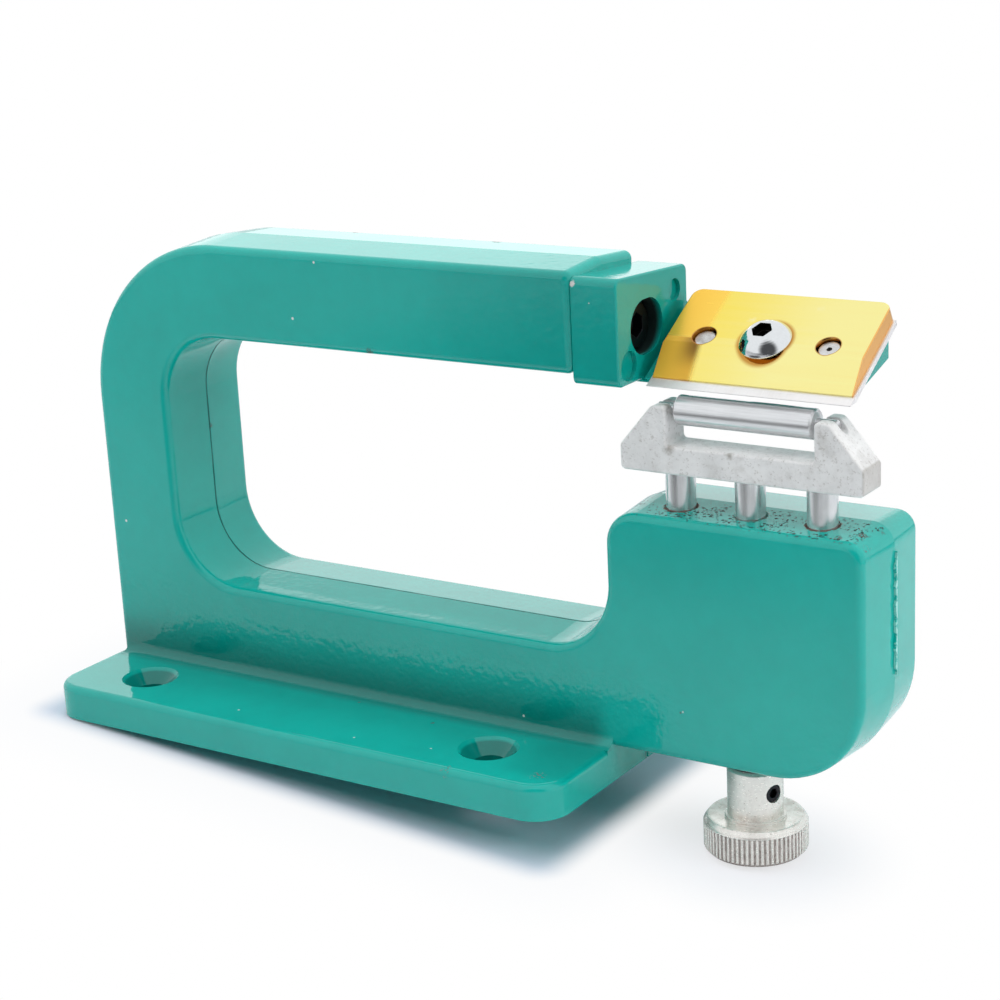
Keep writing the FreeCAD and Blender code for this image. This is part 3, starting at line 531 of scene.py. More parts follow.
def painted_shade_zones(tree, place):
    """Painted shade: darker enamel at the web's foot, on the arm's front towards its right end,
    on the base's top in front of the web towards its right end, and in the countersinks.
    """
    top = BASE_TOP / MM
    above = ("Z", top - 1, top - 0.5)
    foot = zone(
        tree,
        place,
        ("Z", top + 3, top + 17, 0.75, 0.0),
        ("Y", -24, -18),
        ("X", 84, 92, 1.0, 0.0),
        above,
    )
    arm_end = zone(tree, place, ("X", 10, 84, 0.0, 0.34), ("Z", 90, 100), ("Y", -14, -16))
    beside = zone(
        tree,
        place,
        ("X", 62, 80, 0.0, 0.35),
        ("Z", top + 4, top + 1),
        ("Y", -47, -40),
        ("Y", -19, -16, 1.0, 0.0),
        above,
    )
    folded = vector_math(tree, "ABSOLUTE", place)["Vector"]
    hole = round_axis(tree, folded, (*HOLE_PLACE, 0.0))["Away"]
    hole = ramp(tree, hole, 8.2 * MM, 8.6 * MM, 0.85, 0.0)
    sunk = product(tree, hole, zone(tree, place, ("Z", top - 0.5, top - 1.2)))
    return union(tree, [foot, arm_end, beside, sunk])


def rippled_foot(tree, place):
    """Where the orange peel is coarse: the lower part of the web's front."""
    top = BASE_TOP / MM
    low = ("Z", top + 22, top + 34, 1.0, 0.0)
    return zone(tree, place, low, ("Y", -24, -18), ("Y", -15, -11, 1.0, 0.0))


def painted_flash_highlights(tree, place):
    """Painted highlights: broken pale glints along the left side of the mould's flash on the
    block's end.
    """
    foot = FLASH_FOOT / MM
    left_side = zone(tree, place, ("X", foot, foot + 0.25), ("Y", -0.1, 0.3, 1.0, 0.0))
    broken = ramp(tree, noise(tree, place, 700.0, 3.0, 0.6), 0.42, 0.52)
    return product(tree, left_side, broken)


def recess_painted_shade(tree, place):
    """Painted shade deep in the recess of the head's screw."""
    low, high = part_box("head_screw")
    middle = (0.0, (low[1] + high[1]) / 2, (low[2] + high[2]) / 2)
    bore = round_axis(tree, place, middle, (1.0, 0.0, 0.0))
    inside = ramp(tree, bore["Away"], 8.55 * MM, 8.75 * MM, 1.0, 0.0)
    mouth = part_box("blade_head")[0][0] + 13.8 * MM
    depth = ramp(tree, bore["Along"], mouth - 2.4 * MM, mouth - 0.2 * MM, 1.0, 0.0)
    return product(tree, inside, depth)


def make_enamel(name, settings, chips, marks, specks, with_block):
    """Glossy sprayed enamel on a casting, with its chips, pits and dirt, and with painted shade
    and painted highlights.
    """
    material, tree, shader, place = new_material(name)
    paint = settings.colour
    # On the head the enamel's colour is darkened: painted shade.
    strength = 1.0 if with_block else HEAD_PAINTED_SHADE
    mottle = use_group(tree, "Mottle", Place=place, Large=22.0, Small=180.0, Contrast=0.35)
    deep, light = scaled(paint, 0.90 * strength), scaled(paint, 1.05 * strength)
    colour = blend_colours(tree, mottle["Value"], deep, light)
    dust, chance = grains(tree, place, 110.0, 0.02, 0.04)
    dust = product(tree, dust, ramp(tree, chance, 0.990, 0.992))
    colour = overlay(tree, colour, (dust, scaled(paint, 0.55)))
    if with_block:
        # Painted shade in the casting's corners and hollows.
        colour = overlay(tree, colour, (painted_shade_zones(tree, place), scaled(paint, 0.40)))
    # Pale specks; on the frame, one on the base is a painted highlight.
    pale = spots(tree, place, specks, 0.2)
    dark = spots(tree, place, marks, 0.45)
    dark = product(tree, dark, ramp(tree, noise(tree, place, 1800.0), 0.4, 0.55))
    bare = spots(tree, place, chips, 0.5, 0.2)
    colour = overlay(tree, colour, (pale, PALE_SPECK), (dark, DARK_PIT))
    rough = total(tree, settings.roughness, (mottle["Fine"], 0.05), (dark, 0.4))
    height = use_group(tree, "Orange peel", Place=place)["Height"]
    height = product(tree, height, settings.peel_depth)
    if with_block:
        worn = ramp(tree, noise(tree, place, 1100.0, 3.0, 0.6), 0.5, 0.6)
        scuffed = product(tree, spots(tree, place, SCUFFS, 1.0, 0.5), worn)
        grit, rust = block_top_dirt(tree, place)
        seam = seam_line(tree, place)
        colour = overlay(
            tree,
            colour,
            (scuffed, SCUFFED),
            (rust, RUST),
            (grit, GRIT),
            # Painted highlights along the mould's flash.
            (painted_flash_highlights(tree, place), PAINTED_FLASH_HIGHLIGHT),
            (seam, scaled(paint, 0.35)),
        )
        dirty = union(tree, [grit, rust, scuffed])
        rough = total(tree, rough, (union(tree, [dirty, seam]), 0.8))
        height = product(tree, height, total(tree, 1.0, (rippled_foot(tree, place), 2.6)))
        height = total(tree, height, (dirty, 0.05 * MM), (seam, -0.05 * MM))
    else:
        # Painted shade in the recess of the head's screw.
        bore_shade = recess_painted_shade(tree, place)
        colour = overlay(tree, colour, (bore_shade, PAINTED_RECESS_SHADE))
        rough = total(tree, rough, (bore_shade, 0.8))
    colour = overlay(tree, colour, (bare, BARE_METAL))
    rough = total(tree, rough, (bare, 0.35))
    height = total(tree, height, (union(tree, [bare, dark]), -0.04 * MM))
    finish(tree, shader, colour, rough, height)
    shader.inputs["IOR"].default_value = ENAMEL_IOR
    shader.inputs["Specular IOR Level"].default_value = 0.5
    return material


# ------------------------------------------------------------------ metals
def make_metal(
    name,
    colour,
    roughness,
    across=(1.0, 1.0, 1.0),
    fineness=3000.0,
    line_depth=0.002,
    line_gloss=0.12,
    stain=(0.2, 0.17, 0.13),
    stain_amount=0.25,
    stain_size=70.0,
    edge_shine=1.25,
    shaded_hollows=(),
    metallic=1.0,
    line_shade=0.80,
):
    """Bare metal with tool lines, cloudy stains, brighter worn edges and painted shade in each
    hollow.

    A hollow is a centre, an axis, a radius and the height below which its shade is painted.
    """
    material, tree, shader, place = new_material(name)
    lines = tool_lines(tree, place, across, fineness)
    small = stain_size * 9
    mottle = use_group(tree, "Mottle", Place=place, Large=stain_size, Small=small, Contrast=0.3)
    edges, normal = worn_edges(tree, place)
    base = ramp(tree, lines, 0.3, 0.7)
    base = blend_colours(tree, base, scaled(colour, line_shade), scaled(colour))
    stained = product(tree, mottle["Value"], stain_amount)
    base = overlay(tree, base, (stained, scaled(stain)), (edges, scaled(colour, edge_shine)))
    for centre, axis, radius, depth in shaded_hollows:
        hole = round_axis(tree, place, centre, axis)
        inside = ramp(tree, hole["Away"], radius - 0.05 * MM, radius + 0.05 * MM, 1.0, 0.0)
        sunk = ramp(tree, hole["Along"], depth - 0.05 * MM, depth + 0.05 * MM, 1.0, 0.0)
        # Painted shade inside the hollow.
        base = overlay(tree, base, (product(tree, inside, sunk), PAINTED_HOLLOW_SHADE))
    rough = total(tree, roughness, (lines, line_gloss), (stained, 0.4))
    finish(tree, shader, base, rough, product(tree, lines, line_depth * MM), normal)
    shader.inputs["Metallic"].default_value = metallic
    return material


def make_gold_plate(settings):
    """Brushed gold plating with painted light: a painted reflection of the head makes it deeper
    and browner to the left, a painted highlight makes it paler to the right and towards the
    cutting edge, and painted shade darkens its end and round its pins and screw; its grime, rubs
    and worn edges are its own.
    """
    material, tree, shader, place = new_material("Gold plate")
    gold = settings.gold
    x = split(tree, place)["X"]
    low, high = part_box("clamp_plate")
    left, right = low[0], high[0]
    up = vector_math(tree, "DOT_PRODUCT", place, SEAT_UPHILL)["Value"]
    foot = CUTTING_EDGE.dot(SEAT_UPHILL)
    streaks = tool_lines(tree, place, (0.04, 1.0, 1.0), 420.0)
    lines = tool_lines(tree, place, (0.02, 1.0, 1.0), 2600.0)
    # Painted highlight: paler gold to the right and towards the cutting edge, broken by brushing
    # streaks.
    highlight_and_streaks = calculate(tree, "SUBTRACT", ramp(tree, x, left + 6 * MM, right - 8 * MM), 0.4)
    highlight_and_streaks = total(tree, highlight_and_streaks, (streaks, 0.8))
    lower = ramp(tree, up, foot + 15.2 * MM, foot + 15.8 * MM, 0.35, 0.0)
    highlight_and_streaks = calculate(tree, "ADD", highlight_and_streaks, lower, clamp=True)
    # Colour of the painted highlight.
    pale = tuple(c + d for c, d in zip(gold, (0.0, 0.10, 0.22)))
    # Painted reflection of the head: deeper orange towards the left end, broken by brushing
    # streaks.
    left_reflection_and_streaks = ramp(tree, x, left + 1 * MM, left + 13 * MM, 0.55, 0.0)
    left_reflection_and_streaks = total(tree, left_reflection_and_streaks, (streaks, 0.25))
    left_reflection_and_streaks = calculate(tree, "SUBTRACT", left_reflection_and_streaks, 0.10, clamp=True)
    # Painted reflection of the head at the left end, orange deepening to brown; there the plate
    # is also less metallic and rougher.
    reflection_patch = product(
        tree,
        ramp(tree, x, left + 9.5 * MM, left + 12 * MM, 1.0, 0.0),
        ramp(tree, up, foot + 14.5 * MM, foot + 15.0 * MM, 1.0, 0.60),
    )
    brown = product(
        tree,
        ramp(tree, x, left + 3 * MM, left + 10 * MM),
        ramp(tree, up, foot + 5 * MM, foot + 12 * MM, 0.15, 1.0),
        ramp(tree, up, foot + 14.5 * MM, foot + 15.0 * MM, 1.0, 0.0),
    )
    reflection_colour = blend_colours(tree, brown, REFLECTION_ORANGE, REFLECTION_BROWN)
    # Painted shade on the plate's right end face.
    end = ramp(tree, x, right - 0.35 * MM, right - 0.15 * MM)
    # Painted shade: dark rings round the pins and just outside the screw's head.
    rim_shades = []
    for node, near, far in (
        ("blade_pin_left", 3.3, 3.6),
        ("blade_pin_right", 3.3, 3.6),
        ("clamp_screw", 7.0, 8.4),
    ):
        bore = round_axis(tree, place, seat_point(node, 0.0), SEAT_NORMAL)
        rim_shades.append(ramp(tree, bore["Away"], near * MM, far * MM, 0.85, 0.0))
    grimy = product(tree, spots(tree, place, PLATE_GRIME, 1.0, 0.6), 0.7)
    rubbed = spots(tree, place, PLATE_RUBS, 0.6, 0.8)
    edges, normal = worn_edges(tree, place)
    base = overlay(
        tree,
        blend_colours(tree, highlight_and_streaks, scaled(gold), scaled(pale)),
        (left_reflection_and_streaks, LEFT_REFLECTION_ORANGE),
        (reflection_patch, reflection_colour),
        (end, PLATE_END_SHADE),
        (union(tree, rim_shades), HOLE_RIM_SHADE),
        (grimy, PLATE_DIRT),
        (product(tree, rubbed, 0.6), PLATE_RUBBED),
        (product(tree, edges, 0.4), PLATE_EDGE),
    )
    worn = union(tree, [grimy, rubbed])
    rough = total(tree, 0.05, (lines, 0.08), (reflection_patch, 0.28), (worn, 0.2))
    finish(tree, shader, base, rough, product(tree, lines, 0.0012 * MM), normal)
    fill(tree, shader, {"Metallic": total(tree, 1.0, (reflection_patch, -0.62))})
    return material


def make_knob_metal(settings):
    """Satin nickel with turning marks, grime in the knurl and at the foot of the hub."""
    material, tree, shader, place = new_material("Nickel knob")
    low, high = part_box("knob")
    rim = (high[0] - low[0]) / 2
    axis = round_axis(tree, place, (TOOL_X, TOOL_Y, low[2]))
    away, along = axis["Away"], axis["Along"]
    mottle = use_group(tree, "Mottle", Place=place, Large=150.0, Small=1100.0, Contrast=0.3)
    lines = tool_lines(tree, place, (0.25, 0.25, 1.0), 2400.0)
    grime = product(
        tree,
        ramp(tree, away, rim - 0.42 * MM, rim - 0.15 * MM, 1.0, 0.0),
        ramp(tree, away, rim - 1.2 * MM, rim - 0.9 * MM),
        ramp(tree, along, 8.8 * MM, 8.4 * MM),
        ramp(tree, noise(tree, place, 900.0, 3.0, 0.7), 0.35, 0.65, 0.60, 1.0),
    )
    pits = ramp(tree, noise(tree, place, 1500.0, 3.0, 0.7), 0.62, 0.70)
    smudged = product(
        tree,
        ramp(tree, along, 9.2 * MM, 9.6 * MM),
        ramp(tree, along, 12.5 * MM, 11.0 * MM),
        ramp(tree, noise(tree, place, 420.0, 4.0, 0.7), 0.46, 0.62),
        0.35,
    )
    edges, normal = worn_edges(tree, place)
    base = overlay(
        tree,
        blend_colours(tree, lines, scaled(settings.knob, 0.88), scaled(settings.knob)),
        (product(tree, mottle["Value"], 0.10), NICKEL_CLOUD),
        (grime, KNURL_GRIME),
        (product(tree, pits, 0.75), NICKEL_PIT),
        (smudged, KNOB_SMUDGE),
        (edges, NICKEL_EDGE),
    )
    rough = total(tree, 0.16, (lines, 0.18), (grime, 0.3))
    height = product(tree, lines, 0.003 * MM)
    height = total(tree, height, (pits, -0.004 * MM))
    finish(tree, shader, base, rough, height, normal)
    shader.inputs["Metallic"].default_value = 0.5
    return material


def make_cast_metal(name, colour, stain, marks):
    """Tumbled cast alloy: grey and matt, pitted, with brown stains and dark spots at given marks,
    and painted shade on the yoke's right end.
    """
    material, tree, shader, place = new_material(name)
    mottle = use_group(tree, "Mottle", Place=place, Large=110.0, Small=900.0, Contrast=0.28)
    edges, normal = worn_edges(tree, place, CAST_EDGE_WIDTH)
    cloud = ramp(tree, noise(tree, place, 130.0, 5.0, 0.7), 0.52, 0.68)
    flecks = ramp(tree, noise(tree, place, 1100.0, 4.0, 0.7), 0.57, 0.64)
    pits = ramp(tree, noise(tree, place, 1300.0, 3.0, 0.7), 0.60, 0.72)
    dark = spots(tree, place, marks, 0.8, 0.8)
    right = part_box("roller_yoke")[1][0]
    # Painted shade on the yoke's right end face.
    yoke_end_shade = ramp(tree, split(tree, place)["X"], right - 0.7 * MM, right - 0.2 * MM, 0.0, 0.42)
    base = blend_colours(tree, mottle["Value"], scaled(colour), scaled(colour, 0.85))
    for mask, share in ((cloud, 0.20), (flecks, 0.30), (dark, 0.7), (yoke_end_shade, 1.0)):
        base = overlay(tree, base, (product(tree, mask, share), scaled(stain)))
    base = overlay(tree, base, (edges, scaled(colour, 1.3)))
    rough = total(tree, 0.28, (mottle["Fine"], 0.3))
    height = product(tree, pits, -0.03 * MM)
    height = total(tree, height, (mottle["Fine"], 0.03 * MM))
    finish(tree, shader, base, rough, height, normal)
    shader.inputs["Metallic"].default_value = 0.12
    return material


# ------------------------------------------------------------------ settings
class EnamelSettings(bpy.types.PropertyGroup):
    """Coat of the casting and the blade head."""

    colour: FloatVectorProperty(
        name="Colour",
        description="Colour of the enamel",
        subtype="COLOR",
        size=3,
        min=0.0,
        max=1.0,
        default=(0.004, 0.455, 0.393),
    )
    roughness: FloatProperty(
        name="Roughness",
        description="Roughness of the clean coat",
        subtype="FACTOR",
        min=0.0,
        max=1.0,
        default=0.035,
    )
    peel_depth: FloatProperty(
        name="Peel depth",
        description="Depth of the orange peel",
        unit="LENGTH",
        min=0.0,
        default=0.00003,
        precision=6,
    )


class MetalSettings(bpy.types.PropertyGroup):
    """Colours of the bare and plated metals."""

    steel: FloatVectorProperty(
        name="Steel",
        description="Ground steel of the posts, the roller and the blade",
        subtype="COLOR",
        size=3,
        min=0.0,
        max=1.0,
        default=(0.86, 0.86, 0.87),
    )
    yoke: FloatVectorProperty(
        name="Yoke",
        description="Cast alloy of the yoke",
        subtype="COLOR",
        size=3,
        min=0.0,
        max=1.0,
        default=(0.95, 0.945, 0.94),
    )
    gold: FloatVectorProperty(
        name="Plate",
        description="Gold finish of the clamp plate",
        subtype="COLOR",
        size=3,
        min=0.0,
        max=1.0,
        default=(1.0, 0.79, 0.14),
    )
    knob: FloatVectorProperty(
        name="Knob",
        description="Nickel finish of the knob",
        subtype="COLOR",
        size=3,
        min=0.0,
        max=1.0,
        default=(1.0, 0.95, 0.90),
    )


class StudioSettings(bpy.types.PropertyGroup):
    """Floor, lamps and camera."""

    camera_azimuth: FloatProperty(
        name="Azimuth",
        description="Turn of the camera from the front, towards the blade end",
        subtype="ANGLE",
        default=math.radians(33.90),
    )
    camera_elevation: FloatProperty(
        name="Elevation",
        description="Angle of the camera above the part",
        subtype="ANGLE",
        default=math.radians(16.45),
    )
    camera_roll: FloatProperty(
        name="Roll",
        description="Turn of the camera about its own line of sight",
        subtype="ANGLE",
        default=math.radians(-2.88),
    )
    camera_distance: FloatProperty(
        name="Distance",
        description="From the camera to the middle of the part",
        unit="LENGTH",
        default=0.62407,
    )
    lens: FloatProperty(
        name="Lens",
        description="Focal length of the camera, in millimetres",
        default=80.4,
    )
    ambient: FloatProperty(
        name="Ambient",
        description="Strength of the even light from all round",
        min=0.0,
        default=0.16,
    )
    overhead: FloatProperty(
        name="Overhead lamp",
        description="Power of the wide soft lamp above, in watts",
        min=0.0,
        default=19.5,
    )
    sheen: FloatProperty(
        name="Sheen lamp",
        description="Power of the part of the overhead light that shows in reflections, in watts",
        min=0.0,
        default=6.2,
    )
    behind: FloatProperty(
        name="Back lamp",
        description="Power of the soft lamp behind on the left, in watts",
        min=0.0,
        default=1.0,
    )
    side: FloatProperty(
        name="Side lamp",
        description="Power of the soft lamp on the right, in watts",
        min=0.0,
        default=4.5,
    )
    front_gap: FloatProperty(
        name="Front gap",
        description="Reach of the unlit gap in front, where the viewer stands, in reflections",
        unit="LENGTH",
        default=0.36,
    )
    front_dim: FloatProperty(
        name="Front dimming",
        description="How much dimmer the floor in front looks in reflections",
        subtype="FACTOR",
        min=0.0,
        max=1.0,
        default=0.30,
    )


# ------------------------------------------------------------------ operators
class SPLITTER_OT_effects(bpy.types.Operator):
    """Build the shared effects that several finishes use"""

    bl_idname = "splitter.effects"
    bl_label = "Shared effects"

    def execute(self, context):
        make_shared_groups()
        return {"FINISHED"}


class SPLITTER_OT_enamel(bpy.types.Operator):
    """Enamel on the frame casting and the blade head"""

    bl_idname = "splitter.enamel"
    bl_label = "Enamel"

    def execute(self, context):
        settings = context.scene.splitter_enamel
        casting = make_enamel(
            "Frame enamel", settings, BARE_CHIPS, DARK_MARKS, PALE_SPECKS, with_block=True
        )
        dress(casting, "frame_casting")
        chips = {"head_corner": BARE_CHIPS["head_corner"]}
        marks = {"seat_corner": ((153.0, 14.0, 122.0), 1.2)}
        specks = {"front_speck": ((88.0, -16.6, 131.6), 0.3)}
        head = make_enamel("Head enamel", settings, chips, marks, specks, with_block=False)
        dress(head, "blade_head")
        return {"FINISHED"}


class SPLITTER_OT_cutting_unit(bpy.types.Operator):
    """Blade, clamp plate, clamp screw and pins"""

    bl_idname = "splitter.cutting_unit"
    bl_label = "Blade and clamp"

    def execute(self, context):
        metals = context.scene.splitter_metals
        blade = make_metal(
            "Blade steel",
            (0.94, 0.92, 0.92),
            0.24,
            across=(1.0, 0.02, 0.02),
            fineness=5000.0,
            stain=(0.62, 0.50, 0.46),
            stain_amount=0.15,
            metallic=0.45,
            line_shade=0.94,
        )
        dress(blade, "blade")
        dress(make_gold_plate(metals), "clamp_plate")
        # The screw's hex socket gets painted shade.
        socket = (seat_point("clamp_screw", PLATE_TOP), SEAT_NORMAL, 2.93 * MM, 3.15 * MM)
        mirror = make_metal(
            "Polished screw",
            (0.84, 0.84, 0.85),
            0.05,
            fineness=1500.0,
            line_gloss=0.05,
            stain=(0.35, 0.33, 0.30),
            stain_amount=0.06,
            shaded_hollows=[socket],
            line_shade=0.95,
        )
        dress(mirror, "clamp_screw")
        for side, mottled in (("left", 0.55), ("right", 0.25)):
            node = "blade_pin_" + side
            top = seat_point(node, PLATE_TOP - 1.0 * MM)
            pin = make_metal(
                "Pin steel " + side,
                (0.88, 0.86, 0.85),
                0.18,
                fineness=2600.0,
                line_gloss=0.2,
                stain=(0.36, 0.30, 0.28),
                stain_amount=mottled,
                stain_size=330.0,
                shaded_hollows=[(top, SEAT_NORMAL, 0.8 * MM, -0.1 * MM)],
            )
            dress(pin, node)
        return {"FINISHED"}


class SPLITTER_OT_yoke(bpy.types.Operator):
    """Yoke, roller and posts"""

    bl_idname = "splitter.yoke"
    bl_label = "Yoke, roller and posts"

    def execute(self, context):
        metals = context.scene.splitter_metals
        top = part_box("roller_yoke")[1][2] / MM
        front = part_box("roller_yoke")[0][1] / MM
        tool_x = TOOL_X / MM
        # Dark spots on the yoke; those at the two journals are painted shade where the journals
        # sit in the ears.
        marks = {
            "left_journal_shade": ((tool_x - 22.5, TOOL_Y / MM - 3, top - 1), 1.3),
            "right_journal_shade": ((tool_x + 22.5, TOOL_Y / MM - 3, top - 2), 1.5),
            "left_pocket": ((tool_x - 20.5, front, top - 11), 1.2),
            "bar_nick": ((tool_x - 3, front, top - 11), 0.8),
        }
        yoke = make_cast_metal("Cast yoke", tuple(metals.yoke), (0.22, 0.19, 0.15), marks)
        dress(yoke, "roller_yoke")
        roller = make_metal(
            "Roller steel",
            tuple(metals.steel),
            0.10,
            across=(0.02, 1.0, 1.0),
            fineness=2200.0,
            line_gloss=0.15,
            stain_amount=0.06,
            metallic=0.70,
        )
        dress(roller, "roller")
        post = make_metal(
            "Post steel",
            tuple(metals.steel),
            0.10,
            across=(1.0, 1.0, 0.03),
            fineness=1100.0,
            line_depth=0.02,
            line_gloss=0.12,
            stain=(0.42, 0.40, 0.38),
            stain_amount=0.25,
            stain_size=260.0,
            metallic=0.75,
        )
        dress(post, "guide_post_left", "guide_post_right", "lift_post")
        return {"FINISHED"}


class SPLITTER_OT_knob(bpy.types.Operator):
    """Knob and lead screw, and the blackened screws and washers"""

    bl_idname = "splitter.knob"
    bl_label = "Knob, screws and washers"

    def execute(self, context):
        metals = context.scene.splitter_metals
        knob = make_knob_metal(metals)
        dress(knob, "knob")
        black = make_metal(
            "Blackened steel",
            (0.035, 0.035, 0.04),
            0.35,
            stain=(0.02, 0.02, 0.02),
            edge_shine=1.6,
        )
        dress(black, "knob_set_screw", "thrust_washer", "head_screw", "head_spring_washer")
        turned = make_metal(
            "Turned steel",
            (0.55, 0.54, 0.53),
            0.22,
            across=(0.05, 0.05, 1.0),
            fineness=2600.0,
            stain_amount=0.3,
        )
        dress(turned, "lead_screw")
        return {"FINISHED"}


class SPLITTER_OT_dowels(bpy.types.Operator):
    """Dowels that place the blade head on the arm"""

    bl_idname = "splitter.dowels"
    bl_label = "Dowels"

    def execute(self, context):
        ground = make_metal("Dowel steel", (0.6, 0.6, 0.6), 0.2, across=(1.0, 0.1, 0.1))
        dress(ground, "head_dowel_upper", "head_dowel_lower")
        return {"FINISHED"}


def mix_shaders(tree, factor, first, second):
    """Mixes the shaders of two nodes by a factor."""
    values = {0: factor, 1: first.outputs[0], 2: second.outputs[0]}
    return put(tree, "ShaderNodeMixShader", values)


def seen_plainly(tree):
    """Mask of rays that come straight from the camera, and the mask of mirrored rays."""
    rays = put(tree, "ShaderNodeLightPath").outputs
    plain = calculate(tree, "MAXIMUM", rays["Is Camera Ray"], rays["Is Transmission Ray"])
    return plain, rays["Is Glossy Ray"]


def distance_from_base(tree, place):
    """Distance over the floor from the part's base, up to the block's left side."""
    low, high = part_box("frame_casting")
    block_length, corner = 82 * MM, 4 * MM
    parts = split(tree, place)
    beyond = {}
    for axis, least, most in (
        ("X", low[0], high[0] - block_length),
        ("Y", low[1] + corner, high[1] - corner),
    ):
        off = calculate(tree, "SUBTRACT", parts[axis], (least + most) / 2)
        off = calculate(tree, "SUBTRACT", calculate(tree, "ABSOLUTE", off), (most - least) / 2)
        beyond[axis] = calculate(tree, "MAXIMUM", off, 0.0)
    beyond = put(tree, "ShaderNodeCombineXYZ", beyond).outputs[0]
    return vector_math(tree, "LENGTH", beyond)["Value"]


def floor_material(settings):
    """Pale paper that fades into the white background; in front the studio is dimmer."""
    material = bpy.data.materials.new("Studio paper")
    material.use_nodes = True
    tree = material.node_tree
    tree.nodes.clear()
    place = put(tree, "ShaderNodeTexCoord").outputs["Object"]
    plain, mirrored = seen_plainly(tree)
    bounce, shaded, black = (
        put(tree, "ShaderNodeBsdfDiffuse", {"Color": colour})
        for colour in (PAPER_BOUNCE, PAPER_SHADE, BLACK)
    )
    viewer = round_axis(tree, place, (-0.05, -0.42, 0.0))["Away"]
    gap = ramp(tree, viewer, 0.10, settings.front_gap, 0.90, 0.0)
    ahead = ramp(tree, split(tree, place)["Y"], -0.30, -0.12, settings.front_dim, 0.0)
    dimmed = product(tree, union(tree, [gap, ahead]), mirrored)
    paper = mix_shaders(tree, dimmed, mix_shaders(tree, plain, bounce, shaded), black)
    away = distance_from_base(tree, place)
    close = ramp(tree, away, 0.0005, 0.012, 0.0, 0.92)
    fade = calculate(tree, "ADD", close, ramp(tree, away, 0.010, 0.040, 0.0, 0.08))
    knob = round_axis(tree, place, (TOOL_X, TOOL_Y, 0.0))["Away"]
    fade = product(tree, fade, ramp(tree, knob, 0.012, 0.045, 0.7, 1.0), plain)
    white = put(tree, "ShaderNodeEmission", {"Color": WHITE, "Strength": 1.0})
    mixed = mix_shaders(tree, fade, paper, white)
    put(tree, "ShaderNodeOutputMaterial", {"Surface": mixed.outputs[0]})
    return material


def make_floor(settings):
    """Floor under the base's left edge and the knob's rim, on which the part leans."""
    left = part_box("frame_casting")[0][0]
    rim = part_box("knob")[0]
    slope = rim[2] / (rim[0] - left)
    reach = FLOOR_REACH
    corners = []
    for x, y in ((-reach, -reach), (reach, -reach), (reach, reach), (-reach, reach)):
        corners.append((x, y, slope * (x - left)))
    mesh = bpy.data.meshes.new("studio_floor")
    mesh.from_pydata(corners, [], [(0, 1, 2, 3)])
    floor = bpy.data.objects.new("studio_floor", mesh)
    bpy.context.collection.objects.link(floor)
    mesh.materials.append(floor_material(settings))


def make_world(settings):
    """White background; dimmer on the viewer's side, where a studio is dark."""
    world = bpy.data.worlds.new("Studio")
    bpy.context.scene.world = world
    world.use_nodes = True
    tree = world.node_tree
    tree.nodes.clear()
    way = put(tree, "ShaderNodeTexCoord").outputs["Generated"]
    facing = vector_math(tree, "DOT_PRODUCT", way, VIEWER_SIDE)["Value"]
    seen = blend_colours(tree, ramp(tree, facing, 0.74, 0.94), STUDIO_WHITE, STUDIO_DARK)
    ambient, reflected, backdrop = (
        put(tree, "ShaderNodeBackground", {"Color": colour, "Strength": strength})
        for colour, strength in ((AMBIENT_WHITE, settings.ambient), (seen, 1.0), (WHITE, 1.0))
    )
    plain, mirrored = seen_plainly(tree)
    lit = mix_shaders(tree, mirrored, ambient, reflected)
    mixed = mix_shaders(tree, plain, lit, backdrop)
    put(tree, "ShaderNodeOutputWorld", {"Surface": mixed.outputs[0]})


def add_lamp(name, place, target, size, power, reflected=True):
    """Soft rectangular lamp that faces a target."""
    lamp = bpy.data.lights.new(name, "AREA")
    lamp.shape = "RECTANGLE"
    lamp.size, lamp.size_y = size
    lamp.energy = power
    holder = bpy.data.objects.new(name, lamp)
    bpy.context.collection.objects.link(holder)
    back = (Vector(place) - Vector(target)).normalized()
    turn = back.to_track_quat("Z", "Y").to_matrix().to_4x4()
    holder.matrix_world = Matrix.Translation(place) @ turn
    holder.visible_glossy = reflected


def add_camera(settings):
    """Camera that looks at the middle of the part."""
    azimuth, elevation = settings.camera_azimuth, settings.camera_elevation
    level = Vector((math.cos(azimuth), math.sin(azimuth), 0.0))
    back = Vector(
        (
            math.sin(azimuth) * math.cos(elevation),
            -math.cos(azimuth) * math.cos(elevation),
            math.sin(elevation),
        )
    )
    upward = back.cross(level)
    roll = settings.camera_roll
    right = level * math.cos(roll) + upward * math.sin(roll)
    up = upward * math.cos(roll) - level * math.sin(roll)
    place = CAMERA_TARGET + back * settings.camera_distance
    data = bpy.data.cameras.new("Camera")
    data.lens = settings.lens
    data.sensor_width = SENSOR_WIDTH
    camera = bpy.data.objects.new("Camera", data)
    bpy.context.collection.objects.link(camera)
    turn = Matrix((right, up, back)).transposed().to_4x4()
    camera.matrix_world = Matrix.Translation(place) @ turn
    bpy.context.scene.camera = camera


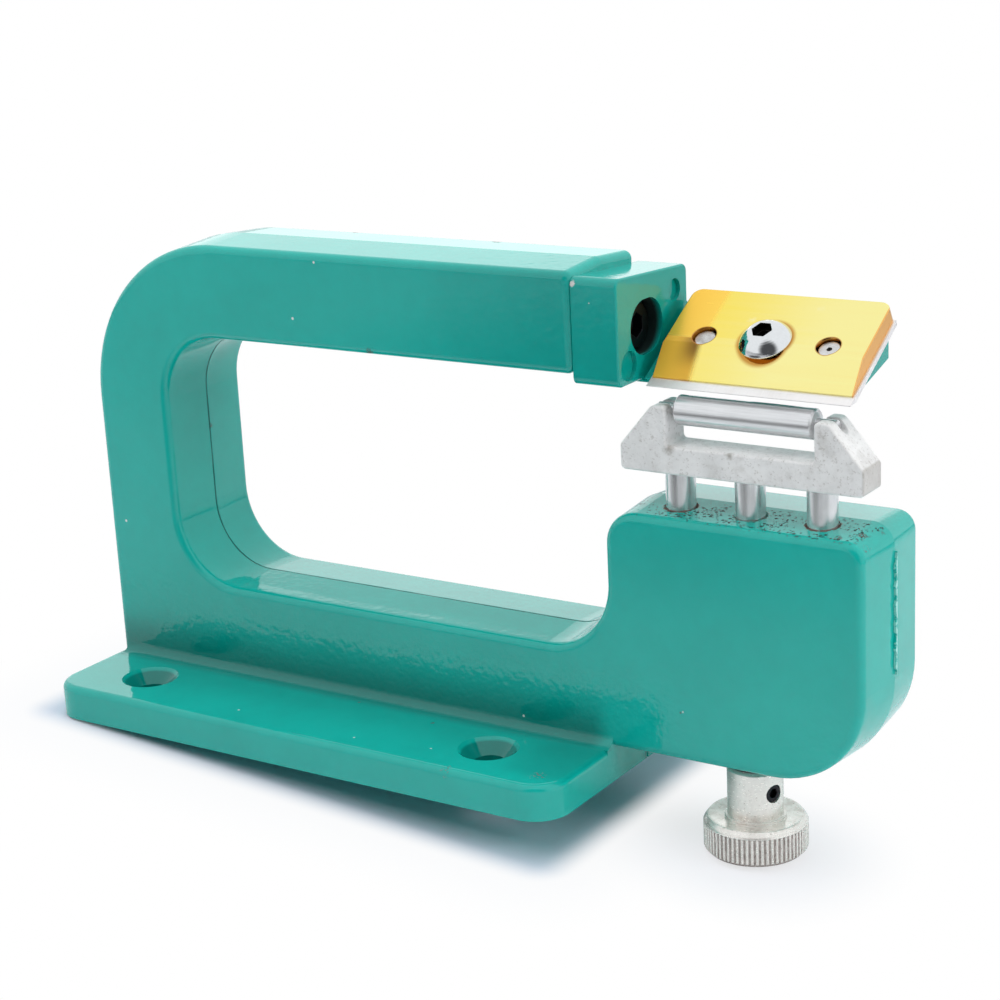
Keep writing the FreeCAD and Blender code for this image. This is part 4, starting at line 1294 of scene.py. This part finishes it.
class SPLITTER_OT_stage(bpy.types.Operator):
    """Floor, background, lamps and camera"""

    bl_idname = "splitter.stage"
    bl_label = "Studio"

    def execute(self, context):
        settings = context.scene.splitter_studio
        make_floor(settings)
        make_world(settings)
        above, below = (-0.25, -0.1, 1.0), (-0.25, -0.1, 0.0)
        add_lamp("Overhead", above, below, (2.2, 2.0), settings.overhead, reflected=False)
        add_lamp("Sheen", above, below, (2.2, 2.0), settings.sheen)
        add_lamp("Behind", (-0.66, 1.03, 0.30), LAMP_TARGET, (1.3, 0.5), settings.behind)
        right = (1.1, 0.1, 0.45)
        add_lamp("Right", right, LAMP_TARGET, (0.6, 0.6), settings.side, reflected=False)
        add_camera(settings)
        context.scene.view_settings.view_transform = "Standard"
        return {"FINISHED"}


class SPLITTER_PT_panel(bpy.types.Panel):
    """Steps and settings of the splitting machine"""

    bl_idname = "SPLITTER_PT_panel"
    bl_label = "Leather splitter"
    bl_space_type = "VIEW_3D"
    bl_region_type = "UI"
    bl_category = "Splitter"

    def draw(self, context):
        scene = context.scene
        for settings in (scene.splitter_enamel, scene.splitter_metals, scene.splitter_studio):
            box = self.layout.box()
            for name in settings.__annotations__:
                box.prop(settings, name)
        for step in STEPS:
            self.layout.operator(step.bl_idname)


STEPS = (
    SPLITTER_OT_effects,
    SPLITTER_OT_enamel,
    SPLITTER_OT_cutting_unit,
    SPLITTER_OT_yoke,
    SPLITTER_OT_knob,
    SPLITTER_OT_dowels,
    SPLITTER_OT_stage,
)
CLASSES = (EnamelSettings, MetalSettings, StudioSettings, *STEPS, SPLITTER_PT_panel)


def register():
    """Registers the classes and their settings."""
    for item in CLASSES:
        bpy.utils.register_class(item)
    bpy.types.Scene.splitter_enamel = PointerProperty(type=EnamelSettings)
    bpy.types.Scene.splitter_metals = PointerProperty(type=MetalSettings)
    bpy.types.Scene.splitter_studio = PointerProperty(type=StudioSettings)


def unregister():
    """Takes the settings and the classes out again."""
    del bpy.types.Scene.splitter_studio
    del bpy.types.Scene.splitter_metals
    del bpy.types.Scene.splitter_enamel
    for item in reversed(CLASSES):
        bpy.utils.unregister_class(item)


def main():
    """Runs every step."""
    register()
    for step in STEPS:
        group, name = step.bl_idname.split(".")
        getattr(getattr(bpy.ops, group), name)()


if __name__ == "__main__":
    main()
